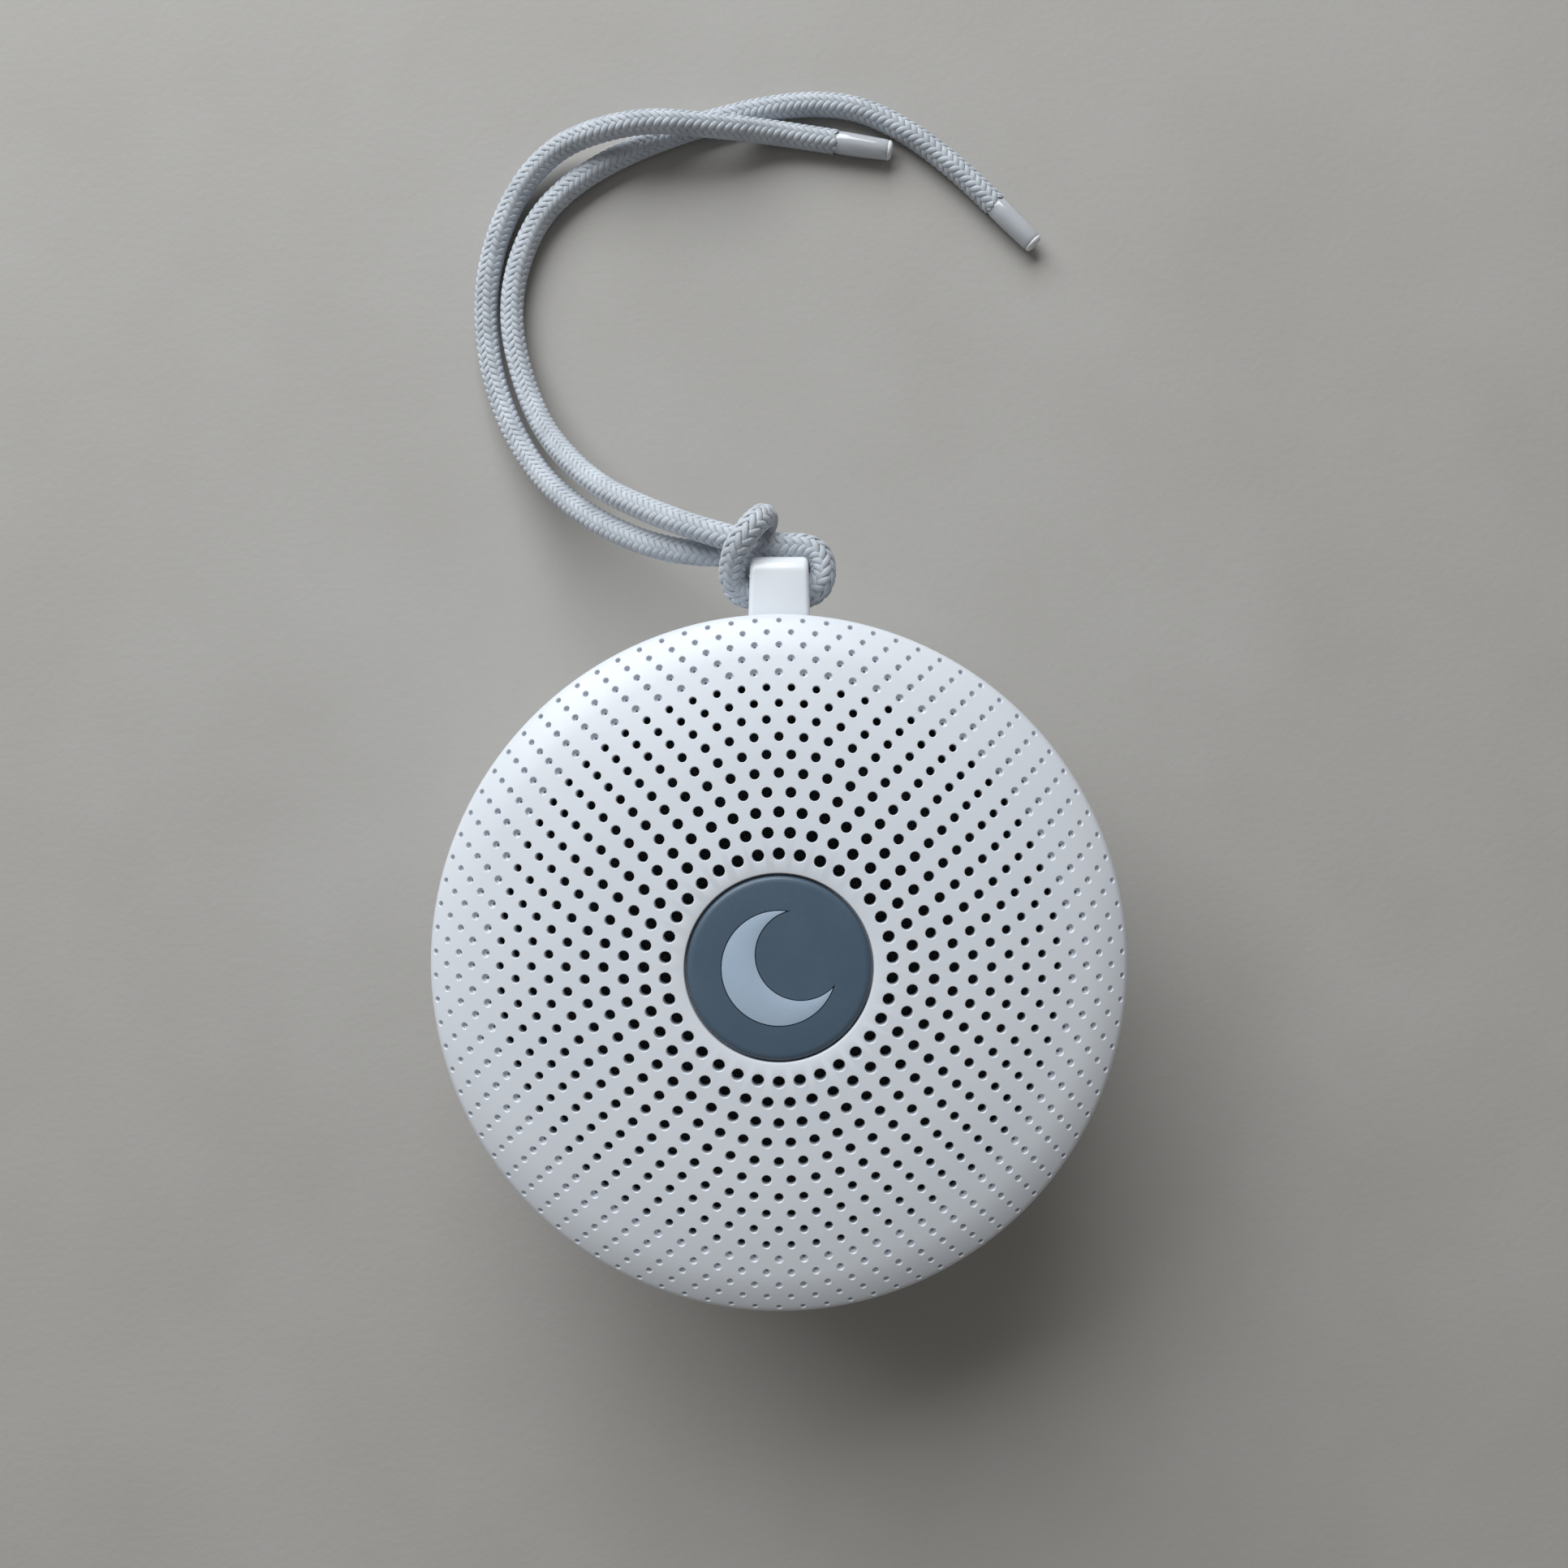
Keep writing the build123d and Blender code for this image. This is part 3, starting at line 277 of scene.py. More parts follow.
foot_profile = [(0, 0.25), (4.0, 0.25)]
for groove in range(9):
    start = 4.0 + 2.5 * groove
    foot_profile += [(start + 0.4, 0.0), (start + 1.7, 0.0), (start + 2.1, 0.25), (start + 2.5, 0.25)]
foot_profile += [(FOOT_R - 0.4, 0.25), (FOOT_R - 0.1, 0.35), (FOOT_R, 0.6), (FOOT_R, 1.6), (0, 1.6)]
foot = lathe("foot_mat", foot_profile, 96)
finish_piece(foot, foot_rubber, "foot_rubber", "foot_pad", crisp=25)

# ---- Base cover ----
# The lower case is a moulded dish with a drawn-in foot. Four pillars take the case screws, four posts carry
# the board and two ribs hold the battery.
BASE_TOP = 8.5
BASE_R = 42.1
FLOOR_TOP = 3.4
BOARD_LOW, BOARD_TOP = 14.4, 16.0


def polar(radius, azimuth):
    return radius * math.cos(math.radians(azimuth)), radius * math.sin(math.radians(azimuth))


def polar_ring(radius, azimuths):
    return [polar(radius, azimuth) for azimuth in azimuths]


CASE_SCREW_AZIMUTHS = (45, 135, 225, 315)
CASE_SCREWS = polar_ring(33.0, CASE_SCREW_AZIMUTHS)
BOARD_SCREWS = polar_ring(31.0, (20, 160, 200, 340))


def placed(azimuth, out=0.0, across=0.0, level=0.0):
    """Shift in millimetres, then a turn about the machine's axis."""
    shift = Matrix.Translation((out * MM, across * MM, level * MM))
    return Matrix.Rotation(math.radians(azimuth), 4, "Z") @ shift


def brick(name, size, middle, azimuth=0):
    """Box of the given size in millimetres round a middle point, turned about the machine's axis."""
    piece = primitive(name, bpy.ops.mesh.primitive_cube_add, size=1.0)
    piece.data.transform(placed(azimuth, *middle) @ Matrix.Diagonal((*(side * MM for side in size), 1)))
    return piece


def post(name, radius, low, high, place=(0, 0), sides=32):
    """Round post that stands at a place given in millimetres."""
    start = (place[0] * MM, place[1] * MM, 0)
    return lathe(name, [(0, low), (radius, low), (radius, high), (0, high)], sides, start)


def posts(name, radius, low, high, places, sides=32):
    """A post at each of several places."""
    return [post(name, radius, low, high, place, sides) for place in places]


def apply(piece, modifier):
    pick(piece)
    bpy.ops.object.modifier_apply(modifier=modifier.name)


def combine(piece, tools, operation="DIFFERENCE"):
    """Cuts the tools out of the piece, or joins them to it, and removes them."""
    for tool in tools:
        modifier = piece.modifiers.new("combine", "BOOLEAN")
        modifier.operation = operation
        modifier.solver = "MANIFOLD"
        modifier.object = tool
        apply(piece, modifier)
        bpy.data.objects.remove(tool)


base_profile = [
    (0, 1.6), (27.2, 1.6), (27.2, 0.8), (37.2, 0.8), (37.9, 1.0), (38.6, 1.5), (41.2, 4.6), (41.8, 5.5),
    (42.05, 6.4), (BASE_R, 7.0), (BASE_R, 8.3), (41.9, BASE_TOP), (39.8, BASE_TOP), (39.8, 6.0),
    (35.2, FLOOR_TOP), (0, FLOOR_TOP),
]
base = lathe("base_dish", base_profile, 144)
pillars = posts("pillar", 3.6, 3.0, 13.0, CASE_SCREWS)
pillars += posts("board_post", 2.4, 3.0, BOARD_LOW, BOARD_SCREWS, 24)
pillars += [brick("rib", (30.0, 1.2, 3.4), (0, side * 17.8, 4.7)) for side in (-1, 1)]
combine(base, pillars, "UNION")
wells = posts("well", 2.6, 0.0, 5.0, CASE_SCREWS)
wells += posts("bore", 1.4, 4.5, 14.0, CASE_SCREWS, 20)
wells += posts("pilot", 0.85, 9.4, 15.0, BOARD_SCREWS, 16)
combine(base, wells)
finish_piece(base, white_plastic, "shell_white", "base_cover")

# ---- Screws ----
# Pan-head self-tapping screws of nickel-plated steel with a cross recess. Four long ones come up from the
# base and hold the case together, and small ones hold the board and the speaker.
SPEAKER_SCREWS = polar_ring(24.4, CASE_SCREW_AZIMUTHS)
screw_steel = skin_material(
    "nickel-plated steel", (0.42, 0.41, 0.39), (0.62, 0.61, 0.58), 900.0, 5200.0, (0.2, 0.42), 0.015,
    metal=1.0,
)


def joined(name, pieces):
    """Several meshes as one object."""
    pick(*pieces)
    if len(pieces) > 1:
        bpy.ops.object.join()
    pieces[0].name = pieces[0].data.name = name
    return pieces[0]


def screws(name, places, level, way, head=1.4, shank=0.8, length=5.7, pitch=0.55):
    """Screws with their drive faces at one level; way is +1 where they point up, head and shank are radii."""
    depth = 0.75 * head
    profile = [(0, 0), (0.7 * head, 0), (0.93 * head, 0.25 * depth), (head, 0.55 * depth), (head, depth)]
    core = 0.74 * shank
    profile += [(shank, depth), (shank, depth + 0.3 * pitch)]
    for turn in range(int((length - depth - 2.2 * shank) / pitch)):
        start = depth + (turn + 0.3) * pitch
        profile += [(core, start + 0.25 * pitch), (core, start + 0.55 * pitch), (shank, start + 0.9 * pitch)]
        profile += [(shank, start + pitch)]
    profile += [(core, length - 1.3 * shank), (0.15 * shank, length), (0, length)]
    first = lathe("screw", profile, 20)
    arm = (1.15 * head, 0.26 * head, 1.1 * depth)
    combine(first, [joined("drive", [brick("arm", arm, (0, 0, 0), turn) for turn in (20, 110)])])
    pieces = []
    for x, y in places:
        piece = new_object("screw", first.data.copy())
        if way < 0:
            piece.data.transform(Matrix.Rotation(math.pi, 4, "X"))
        piece.data.transform(placed(0, x, y, level))
        pieces.append(piece)
    bpy.data.objects.remove(first)
    group = joined(name, pieces)
    finish_piece(group, screw_steel, "screw_steel", name, crisp=30)
    group.name = name + "_threaded"


screws("case_screws", CASE_SCREWS, level=3.2, way=1, head=2.4, shank=1.2, length=19.8, pitch=0.85)
screws("board_screws", BOARD_SCREWS, level=17.0, way=-1)
screws("speaker_screws", SPEAKER_SCREWS, level=37.0, way=-1)

# ---- Battery ----
# A lithium cell in a soft aluminium-foil pouch lies on a foam cushion between the ribs. Its wire end is
# closed with amber tape, and a red and a black wire go up through the board to a plug.
BATTERY_LENGTH, BATTERY_WIDTH = 50.0, 34.0
BATTERY_LOW, BATTERY_HIGH = 3.9, 11.9
TAPE_WIDTH = 6.0


def turned_place(tree, turn=0.0):
    """Vector in the machine's own frame, turned about its axis, and its three parts."""
    turned = add_node(tree, "Mapping", Vector=own_place(tree), Rotation=(0, 0, math.radians(turn)))
    parts = add_node(tree, "SeparateXYZ", Vector=turned.outputs["Vector"]).outputs
    return turned.outputs["Vector"], parts["X"], parts["Y"], parts["Z"]


def cell_material(name, dark, light, scale, roughness, relief):
    """Foam: open cells whose pits are painted darker, as shade."""
    material, tree = new_material(name)
    cells = add_node(tree, "TexVoronoi", Vector=own_place(tree), Scale=scale).outputs["Distance"]
    # The colour goes darker with the cell field that also shapes the bump: painted shade in the pits.
    return dress(material, mix_colours(tree, cells, light, dark), roughness, cells, relief)


def compute(tree, operation, *values):
    """Result of a math node."""
    node = tree.nodes.new("ShaderNodeMath")
    node.operation = operation
    for socket, value in zip(node.inputs, values):
        feed(tree, socket, value)
    return node.outputs[0]


def foil_material():
    """Crinkled pouch foil, painted darker along its creases as shade, with amber tape over the end where the
    wires come out.
    """
    material, tree = new_material("pouch foil and tape")
    place, along, across, up = turned_place(tree)
    bent = add_node(tree, "TexNoise", Vector=place, Scale=140.0, Detail=3.0)
    creases = add_node(tree, "TexVoronoi", Vector=bent.outputs["Color"], Scale=9.0).outputs["Distance"]
    # The foil is painted darker along its creases, as shade.
    foil = mix_colours(tree, creases, (0.62, 0.63, 0.65), (0.46, 0.47, 0.50))
    taped = compute(tree, "LESS_THAN", along, (TAPE_WIDTH - BATTERY_LENGTH / 2) * MM)
    tape = mix_colours(tree, noise(tree, place, 1400.0), (0.48, 0.25, 0.035), (0.60, 0.34, 0.06))
    metal = compute(tree, "SUBTRACT", 0.85, compute(tree, "MULTIPLY", taped, 0.85))
    roughness = compute(tree, "MULTIPLY_ADD", creases, 0.2, 0.28)
    return dress(material, mix_colours(tree, taped, foil, tape), roughness, creases, 0.25, Metallic=metal)


def steered_mesh(points, steps, radius=0.0):
    """Mesh of the smooth line that points in millimetres steer, as a bare line or as a round rod."""
    line = bpy.data.curves.new("route", "CURVE")
    line.dimensions = "3D"
    line.resolution_u = steps
    line.bevel_depth = radius * MM
    line.bevel_resolution = 3
    line.use_fill_caps = True
    spline = line.splines.new("NURBS")
    spline.points.add(len(points) - 1)
    for point, place in zip(spline.points, points):
        point.co = (*(value * MM for value in place), 1)
    spline.order_u = 3
    spline.use_endpoint_u = True
    guide = bpy.data.objects.new("route", line)
    mesh = bpy.data.meshes.new_from_object(guide)
    bpy.data.objects.remove(guide)
    return mesh


def wire(name, points, radius, azimuth):
    """Round wire along (out, side, up) points in millimetres, turned about the machine's axis."""
    mesh = steered_mesh(points, 8, radius)
    mesh.transform(placed(azimuth))
    return new_object(name, mesh)


red_jacket = skin_material(
    "red wire jacket", (0.30, 0.012, 0.010), (0.42, 0.02, 0.016), 300.0, 3000.0, relief=0.02
)
black_jacket = skin_material(
    "black wire jacket", (0.012, 0.012, 0.013), (0.03, 0.03, 0.032), 300.0, 3000.0, relief=0.02
)
WIRE_R = 0.6
WIRE_GAP = 2.4                # between the middles of a pair
PLUG_LEVEL = 17.6
PLUG_OUTER = 26.4


def wire_pair(node, azimuth, out_start, level_start, out_turn):
    """Two wires that leave a piece, turn once beyond it and come back to their plug."""
    bend = 1.0 if level_start < PLUG_LEVEL else -1.0
    route = [
        (out_start, level_start), (out_turn - 1.0, level_start), (out_turn, level_start),
        (out_turn, level_start + bend), (out_turn, PLUG_LEVEL - bend), (out_turn, PLUG_LEVEL),
        (out_turn - 1.0, PLUG_LEVEL), (PLUG_OUTER, PLUG_LEVEL),
    ]
    for side, jacket, tone in ((-WIRE_GAP / 2, black_jacket, "black"), (WIRE_GAP / 2, red_jacket, "red")):
        piece = wire(node + "_" + tone, [(out, side, level) for out, level in route], WIRE_R, azimuth)
        finish_piece(piece, jacket, "wire_jacket", node, crisp=60)


def bevel_edges(piece, width, segments=3, degrees=30, clamp=True):
    modifier = piece.modifiers.new("bevel", "BEVEL")
    modifier.width = width * MM
    modifier.segments = segments
    modifier.limit_method = "ANGLE"
    modifier.angle_limit = math.radians(degrees)
    modifier.use_clamp_overlap = clamp
    apply(piece, modifier)


foam = cell_material("dark open-cell foam", (0.015, 0.015, 0.017), (0.075, 0.075, 0.08), 1500.0, 0.9, 0.12)
CUSHION_THICK = BATTERY_LOW - FLOOR_TOP
cushion_size = (BATTERY_LENGTH - 4, BATTERY_WIDTH - 4, CUSHION_THICK)
cushion = brick("battery_cushion", cushion_size, (0, 0, FLOOR_TOP + CUSHION_THICK / 2))
bevel_edges(cushion, 0.12, 2, 60)
finish_piece(cushion, foam, "foam", "battery_pad")
pouch_size = (BATTERY_LENGTH, BATTERY_WIDTH, BATTERY_HIGH - BATTERY_LOW)
pouch = brick("battery_pouch", pouch_size, (0, 0, (BATTERY_LOW + BATTERY_HIGH) / 2))
bevel_edges(pouch, 1.7, 6, 60)
finish_piece(pouch, foil_material(), "battery_foil", "battery_cell", crisp=40)
wire_pair("battery_wires", 180, out_start=BATTERY_LENGTH / 2, level_start=9.5, out_turn=29.0)

# ---- Light ring ----
# The night light shines through a ring of milky polycarbonate that is clamped between the base and the
# housing.
milky = skin_material(
    "milky diffuser", (0.80, 0.80, 0.78), (0.86, 0.86, 0.84), 40.0, 3000.0, (0.42, 0.55), 0.006
)
RING_TOP = 12.5


def ring(name, profile, steps):
    """Solid of revolution whose profile is a closed outline clear of the axis."""
    return lathe(name, profile + profile[:1], steps)


ring_profile = [
    (38.5, BASE_TOP), (41.6, BASE_TOP), (41.85, 8.75), (41.95, 9.6), (41.95, 11.4), (41.85, 12.25),
    (41.6, RING_TOP), (38.5, RING_TOP),
]
diffuser = ring("diffuser_ring", ring_profile, 144)
finish_piece(diffuser, milky, "ring_diffuser", "light_ring")

# ---- Board ----
# A round circuit board with green solder mask stands on four posts of the base. It carries the chips, two
# wire plugs in their headers, the key switches, the charging socket, the status light and six night lights.
BOARD_R = 36.4
KEY_PITCH = 11.02             # along the wall, from one key to the next
KEY_AZIMUTHS = [270 + math.degrees(KEY_PITCH / BASE_R) * place for place in (-2, -1, 0, 1, 2)]
KEY_LEVEL = 17.8
STATUS_AZIMUTH = 330
CHIPS = (
    ((8.0, 7.0, 1.2), (9.0, -12.0)), ((5.0, 4.0, 1.5), (-8.0, -13.0)),
    ((4.0, 4.0, 2.2), (-3.0, 12.0)), ((3.2, 3.2, 1.0), (13.0, 9.0)),
)
LEG_PITCH = 0.65


def board_material():
    """Solder mask over straight copper tracks, with small tinned vias."""
    material, tree = new_material("green circuit board")
    place = own_place(tree)
    tracks = []
    for turn, scale in ((0.0, 150.0), (90.0, 110.0)):
        sizes = {"Mortar Size": 0.035, "Brick Width": 2.6}
        grid = add_node(tree, "TexBrick", Vector=turned_place(tree, turn)[0], Scale=scale, **sizes)
        grid.offset_frequency, grid.squash_frequency, grid.squash = 3, 2, 1.6
        tracks.append(grid.outputs["Fac"])
    patches = add_node(tree, "TexVoronoi", Vector=place, Scale=85.0).outputs["Color"]
    routed = compute(tree, "GREATER_THAN", patches, 0.45)
    copper = compute(tree, "MULTIPLY", compute(tree, "MAXIMUM", *tracks), routed)
    mask = mix_colours(tree, noise(tree, place, 70.0), (0.008, 0.085, 0.035), (0.014, 0.125, 0.052))
    spots = add_node(tree, "TexVoronoi", Vector=place, Scale=260.0, Randomness=0.9).outputs["Distance"]
    vias = compute(tree, "LESS_THAN", spots, 0.085)
    colour = mix_colours(tree, copper, mask, (0.035, 0.24, 0.095))
    colour = mix_colours(tree, vias, colour, (0.55, 0.53, 0.48))
    return dress(material, colour, 0.32, compute(tree, "MAXIMUM", copper, vias), 0.03)


def row_of(count, pitch, make):
    """Pieces made at even places about the middle."""
    return [make((place - (count - 1) / 2) * pitch) for place in range(count)]


board = post("board_disc", BOARD_R, BOARD_LOW, BOARD_TOP, (0, 0), 128)
board_middle = (BOARD_LOW + BOARD_TOP) / 2
board_cuts = [brick("notch", (14.0, 8.0, 3.0), (35.9, 0, board_middle), a) for a in CASE_SCREW_AZIMUTHS]
board_cuts += posts("hole", 1.0, 13.0, 17.0, BOARD_SCREWS, 20)
board_cuts.append(brick("slot", (4.0, 6.0, 3.0), (-29.0, 0, board_middle)))
combine(board, board_cuts)
finish_piece(board, board_material(), "board_green", "main_board")

chip_black = skin_material(
    "chip epoxy", (0.012, 0.012, 0.013), (0.026, 0.026, 0.028), 400.0, 4000.0, (0.45, 0.6), 0.03
)
tinned = skin_material(
    "tinned copper", (0.52, 0.51, 0.49), (0.66, 0.65, 0.62), 900.0, 5000.0, (0.2, 0.35), 0.01, metal=1.0
)
chips, legs = [], []
for (length, width, height), (x, y) in CHIPS:
    thick = height - 0.15
    chips.append(brick("chip", (length - 0.8, width - 0.8, thick), (x, y, BOARD_TOP + 0.15 + thick / 2)))
    for side in (-1, 1):
        leg_y = y + side * (width / 2 - 0.3)
        legs += row_of(int((length - 1.2) / LEG_PITCH), LEG_PITCH, lambda at: brick(
            "leg", (0.3, 0.6, 0.2), (x + at, leg_y, BOARD_TOP + 0.1)
        ))
chips = joined("chip_bodies", chips)
bevel_edges(chips, 0.1, 2, 40)
finish_piece(chips, chip_black, "chip_black", "board_chips")
finish_piece(joined("chip_legs", legs), tinned, "socket_steel")

nylon = skin_material(
    "natural nylon", (0.55, 0.53, 0.46), (0.66, 0.64, 0.57), 250.0, 3000.0, (0.35, 0.5), 0.02
)
HEADER_SIZE = (7.0, 3.6, 3.2)
HEADER_INNER = 19.2
PLUG_SIZE = (6.0, 3.6, 2.6)
PLUG_INNER = PLUG_OUTER - PLUG_SIZE[1]


def connector(name, size, inner, level, azimuth):
    """Nylon block across the +Y side, turned to its place, with pockets and latches for two pins."""
    width, depth, height = size
    shell = brick(name, size, (0, inner + depth / 2, level))
    bevel_edges(shell, 0.2, 2, 40)
    places = (-WIRE_GAP / 2, WIRE_GAP / 2)
    cuts = [brick("pocket", (1.3, 1.6, height - 1.2), (at, inner, level + 0.2)) for at in places]
    cuts += [brick("latch", (0.9, 1.4, 0.6), (at, inner + 0.6 * depth, level + height / 2)) for at in places]
    combine(shell, [joined("cuts", cuts)])
    shell.data.transform(placed(azimuth))
    return shell


HEADER_LEVEL = BOARD_TOP + HEADER_SIZE[2] / 2
headers = [connector("header", HEADER_SIZE, HEADER_INNER, HEADER_LEVEL, azimuth) for azimuth in (0, 90)]
finish_piece(joined("nylon_headers", headers), nylon, "connector_white", "wire_headers")
for node, azimuth in (("speaker_plug", 0), ("battery_plug", 90)):
    plug = connector(node + "_nylon", PLUG_SIZE, PLUG_INNER, PLUG_LEVEL, azimuth)
    finish_piece(plug, nylon, "connector_white", node)

switch_black = skin_material(
    "switch nylon", (0.014, 0.014, 0.015), (0.03, 0.03, 0.032), 300.0, 3500.0, (0.35, 0.5), 0.02
)
SWITCH_FRONT = 36.9
switches, covers = [], []
for azimuth in KEY_AZIMUTHS:
    body = brick("switch", (2.9, 4.6, 3.6), (SWITCH_FRONT - 1.75, 0, KEY_LEVEL), azimuth)
    cover = brick("cover", (0.3, 4.4, 3.4), (SWITCH_FRONT - 0.15, 0, KEY_LEVEL), azimuth)
    for piece in (body, cover):
        combine(piece, [brick("pocket", (1.2, 1.8, 1.8), (SWITCH_FRONT - 0.6, 0, KEY_LEVEL), azimuth)])
    switches.append(body)
    covers.append(cover)
finish_piece(joined("switch_blocks", switches), switch_black, "switch_black", "switch_bodies")
finish_piece(joined("switch_covers", covers), tinned, "socket_steel")


def phosphor_material():
    """Yellow phosphor under a clear lens, a little uneven."""
    material, tree = new_material("light phosphor")
    grain = noise(tree, own_place(tree), 2200.0)
    colour = mix_colours(tree, grain, (0.70, 0.50, 0.10), (0.85, 0.68, 0.22))
    return dress(material, colour, 0.4, grain, 0.01, **{"Coat Weight": 0.6})


phosphor = phosphor_material()
lamp_body = skin_material(
    "white ceramic", (0.62, 0.61, 0.58), (0.72, 0.71, 0.68), 500.0, 4000.0, (0.4, 0.55), 0.01
)
NIGHT_LIGHT_AZIMUTHS = (0, 60, 120, 180, 240, 300)
NIGHT_LIGHT_R = 34.6
bodies = [brick("body", (1.6, 2.8, 0.7), (NIGHT_LIGHT_R, 0, 14.05), a) for a in NIGHT_LIGHT_AZIMUTHS]
lenses = [brick("lens", (1.2, 2.2, 0.2), (NIGHT_LIGHT_R, 0, 13.7), a) for a in NIGHT_LIGHT_AZIMUTHS]
finish_piece(joined("night_light_bodies", bodies), lamp_body, "led_lens", "night_leds")
finish_piece(joined("night_light_lenses", lenses), phosphor, "led_lens")
status_body = brick("status_light_body", (1.3, 2.8, 2.8), (35.45, 0, 17.4), STATUS_AZIMUTH)
bevel_edges(status_body, 0.15, 2, 60)
finish_piece(status_body, lamp_body, "led_lens", "status_led")
status_lens = brick("status_light_lens", (0.3, 1.9, 1.9), (36.25, 0, 17.6), STATUS_AZIMUTH)
finish_piece(status_lens, phosphor, "led_lens")

# ---- Charging socket ----
# A USB-C receptacle: a folded stainless shell with rounded ends, and a black tongue with gold contacts on
# both faces. Its mouth lies a little inside the wall.
SOCKET_AZIMUTH = 210
SOCKET_LEVEL = 17.63
SOCKET_INNER, SOCKET_OUT = 34.1, 7.4
socket_steel = skin_material(
    "stainless socket", (0.46, 0.46, 0.45), (0.60, 0.60, 0.58), 500.0, 4200.0, (0.18, 0.34), 0.01, metal=1.0
)
gold = skin_material(
    "gold plating", (0.68, 0.45, 0.15), (0.82, 0.58, 0.22), 900.0, 5000.0, (0.16, 0.3), 0.005, metal=1.0
)


def select_parts(piece, kind, test):
    """In edit mode, selects those verts, edges or faces for which the test holds."""
    edit = bmesh.from_edit_mesh(piece.data)
    for part in getattr(edit, kind):
        part.select_set(test(part))
    if kind == "verts":
        edit.select_flush(True)
    bmesh.update_edit_mesh(piece.data)


def lies_across(edge):
    """Whether an edge runs mainly along X."""
    run = edge.verts[0].co - edge.verts[1].co
    return abs(run.x) > abs(run.y) + abs(run.z)


def rounded_bar(name, size, inner, azimuth, level, corner, flare=0.0):
    """Rounded bar that points outwards; size is (out, across, high). A flare widens its outer end."""
    out, across, high = size
    piece = brick(name, size, (0, 0, 0))
    bpy.ops.object.mode_set(mode="EDIT")
    select_parts(piece, "edges", lies_across)
    bpy.ops.mesh.bevel(offset=corner * MM, segments=6)
    if flare:
        select_parts(piece, "faces", lambda face: face.normal.x > 0.9)
        bpy.ops.mesh.extrude_region_move(TRANSFORM_OT_translate={"value": (flare * MM, 0, 0)})
        grown = (1, 1 + 2 * flare / across, 1 + 2 * flare / high)
        bpy.ops.transform.resize(value=grown, center_override=(0, 0, 0))
    bpy.ops.object.mode_set(mode="OBJECT")
    piece.data.transform(placed(azimuth, inner + out / 2, 0, level))
    return piece


shell = rounded_bar("socket_shell", (SOCKET_OUT, 8.94, 3.26), SOCKET_INNER, SOCKET_AZIMUTH, SOCKET_LEVEL, 1.6)
hollow = rounded_bar("hollow", (7.0, 8.34, 2.66), SOCKET_INNER + 1.0, SOCKET_AZIMUTH, SOCKET_LEVEL, 1.3)
combine(shell, [hollow])
finish_piece(shell, socket_steel, "socket_steel", "usb_c_shell")
tongue = brick("socket_tongue", (6.0, 6.7, 0.7), (38.1, 0, SOCKET_LEVEL), SOCKET_AZIMUTH)
bevel_edges(tongue, 0.15, 3, 60)
finish_piece(tongue, switch_black, "chip_black", "usb_c_tongue")
contacts = []
for side in (-1, 1):
    contacts += row_of(12, 0.5, lambda at: brick(
        "contact", (4.2, 0.26, 0.06), (38.5, at, SOCKET_LEVEL + side * 0.33), SOCKET_AZIMUTH
    ))
finish_piece(joined("socket_contacts", contacts), gold, "socket_steel")

# ---- Housing ----
# The side wall is one moulding, a little narrower towards the table so that it leaves the mould. It has
# windows for the keys, the charging socket and the status light, and a notch for the strap lug.
KEY_SIZE = (8.0, 5.2)
KEY_GAP = 0.15                # all round a key in its window
LEDGE = 32.0                  # carries the baffle
wall_profile = [
    (39.8, RING_TOP), (41.9, RING_TOP), (42.1, 12.7), (42.7, 36.2), (42.5, 36.4), (40.9, 36.4), (40.9, LEDGE),
    (39.8, LEDGE),
]
wall = ring("housing_wall", wall_profile, 144)
bosses = posts("boss", 3.0, 13.2, 26.0, CASE_SCREWS)
bosses += [brick("web", (8.0, 1.2, 12.8), (36.9, 0, 19.6), a) for a in CASE_SCREW_AZIMUTHS]
combine(wall, bosses, "UNION")
windows = posts("bore", 1.25, 13.0, 24.0, CASE_SCREWS, 20)
for azimuth in KEY_AZIMUTHS:
    opening = (3.6, KEY_SIZE[0] + 2 * KEY_GAP, KEY_SIZE[1] + 2 * KEY_GAP)
    windows.append(rounded_bar("window", opening, 38.5, azimuth, KEY_LEVEL, 2.0, flare=0.5))
windows.append(rounded_bar("mouth", (3.6, 9.34, 3.66), 38.5, SOCKET_AZIMUTH, SOCKET_LEVEL, 1.6, flare=0.5))
STATUS_AXIS = placed(STATUS_AZIMUTH, level=KEY_LEVEL) @ Matrix.Rotation(math.radians(90), 4, "Y")
status_bore = lathe("status_bore", [(0, 38.0), (1.0, 38.0), (1.0, 42.0), (1.3, 42.6), (0, 42.6)], 32)
status_bore.data.transform(STATUS_AXIS)
windows.append(status_bore)
windows.append(brick("notch", (8.3, 5.0, 18.0), (0, 41.5, 32.2)))
combine(wall, windows)
finish_piece(wall, white_plastic, "shell_white", "main_housing")

# ---- Status light ----
# A short rod of clear acrylic brings the status light through the wall. Its rounded end lies just inside the
# wall's face.
acrylic, tree = new_material("clear acrylic")
haze = noise(tree, own_place(tree), 1500.0)
haze_colour = mix_colours(tree, haze, (0.86, 0.88, 0.88), (0.95, 0.96, 0.96))
dress(acrylic, haze_colour, 0.14, haze, 0.01, IOR=1.49, **{"Transmission Weight": 0.85})
pipe_profile = [(0, 36.6), (0.75, 36.6), (0.9, 36.8), (0.9, 41.7), (0.8, 41.95), (0.5, 42.07), (0, 42.1)]
pipe = lathe("status_rod", pipe_profile, 32)
pipe.data.transform(STATUS_AXIS)
finish_piece(pipe, acrylic, "light_pipe", "status_light_pipe", crisp=50)

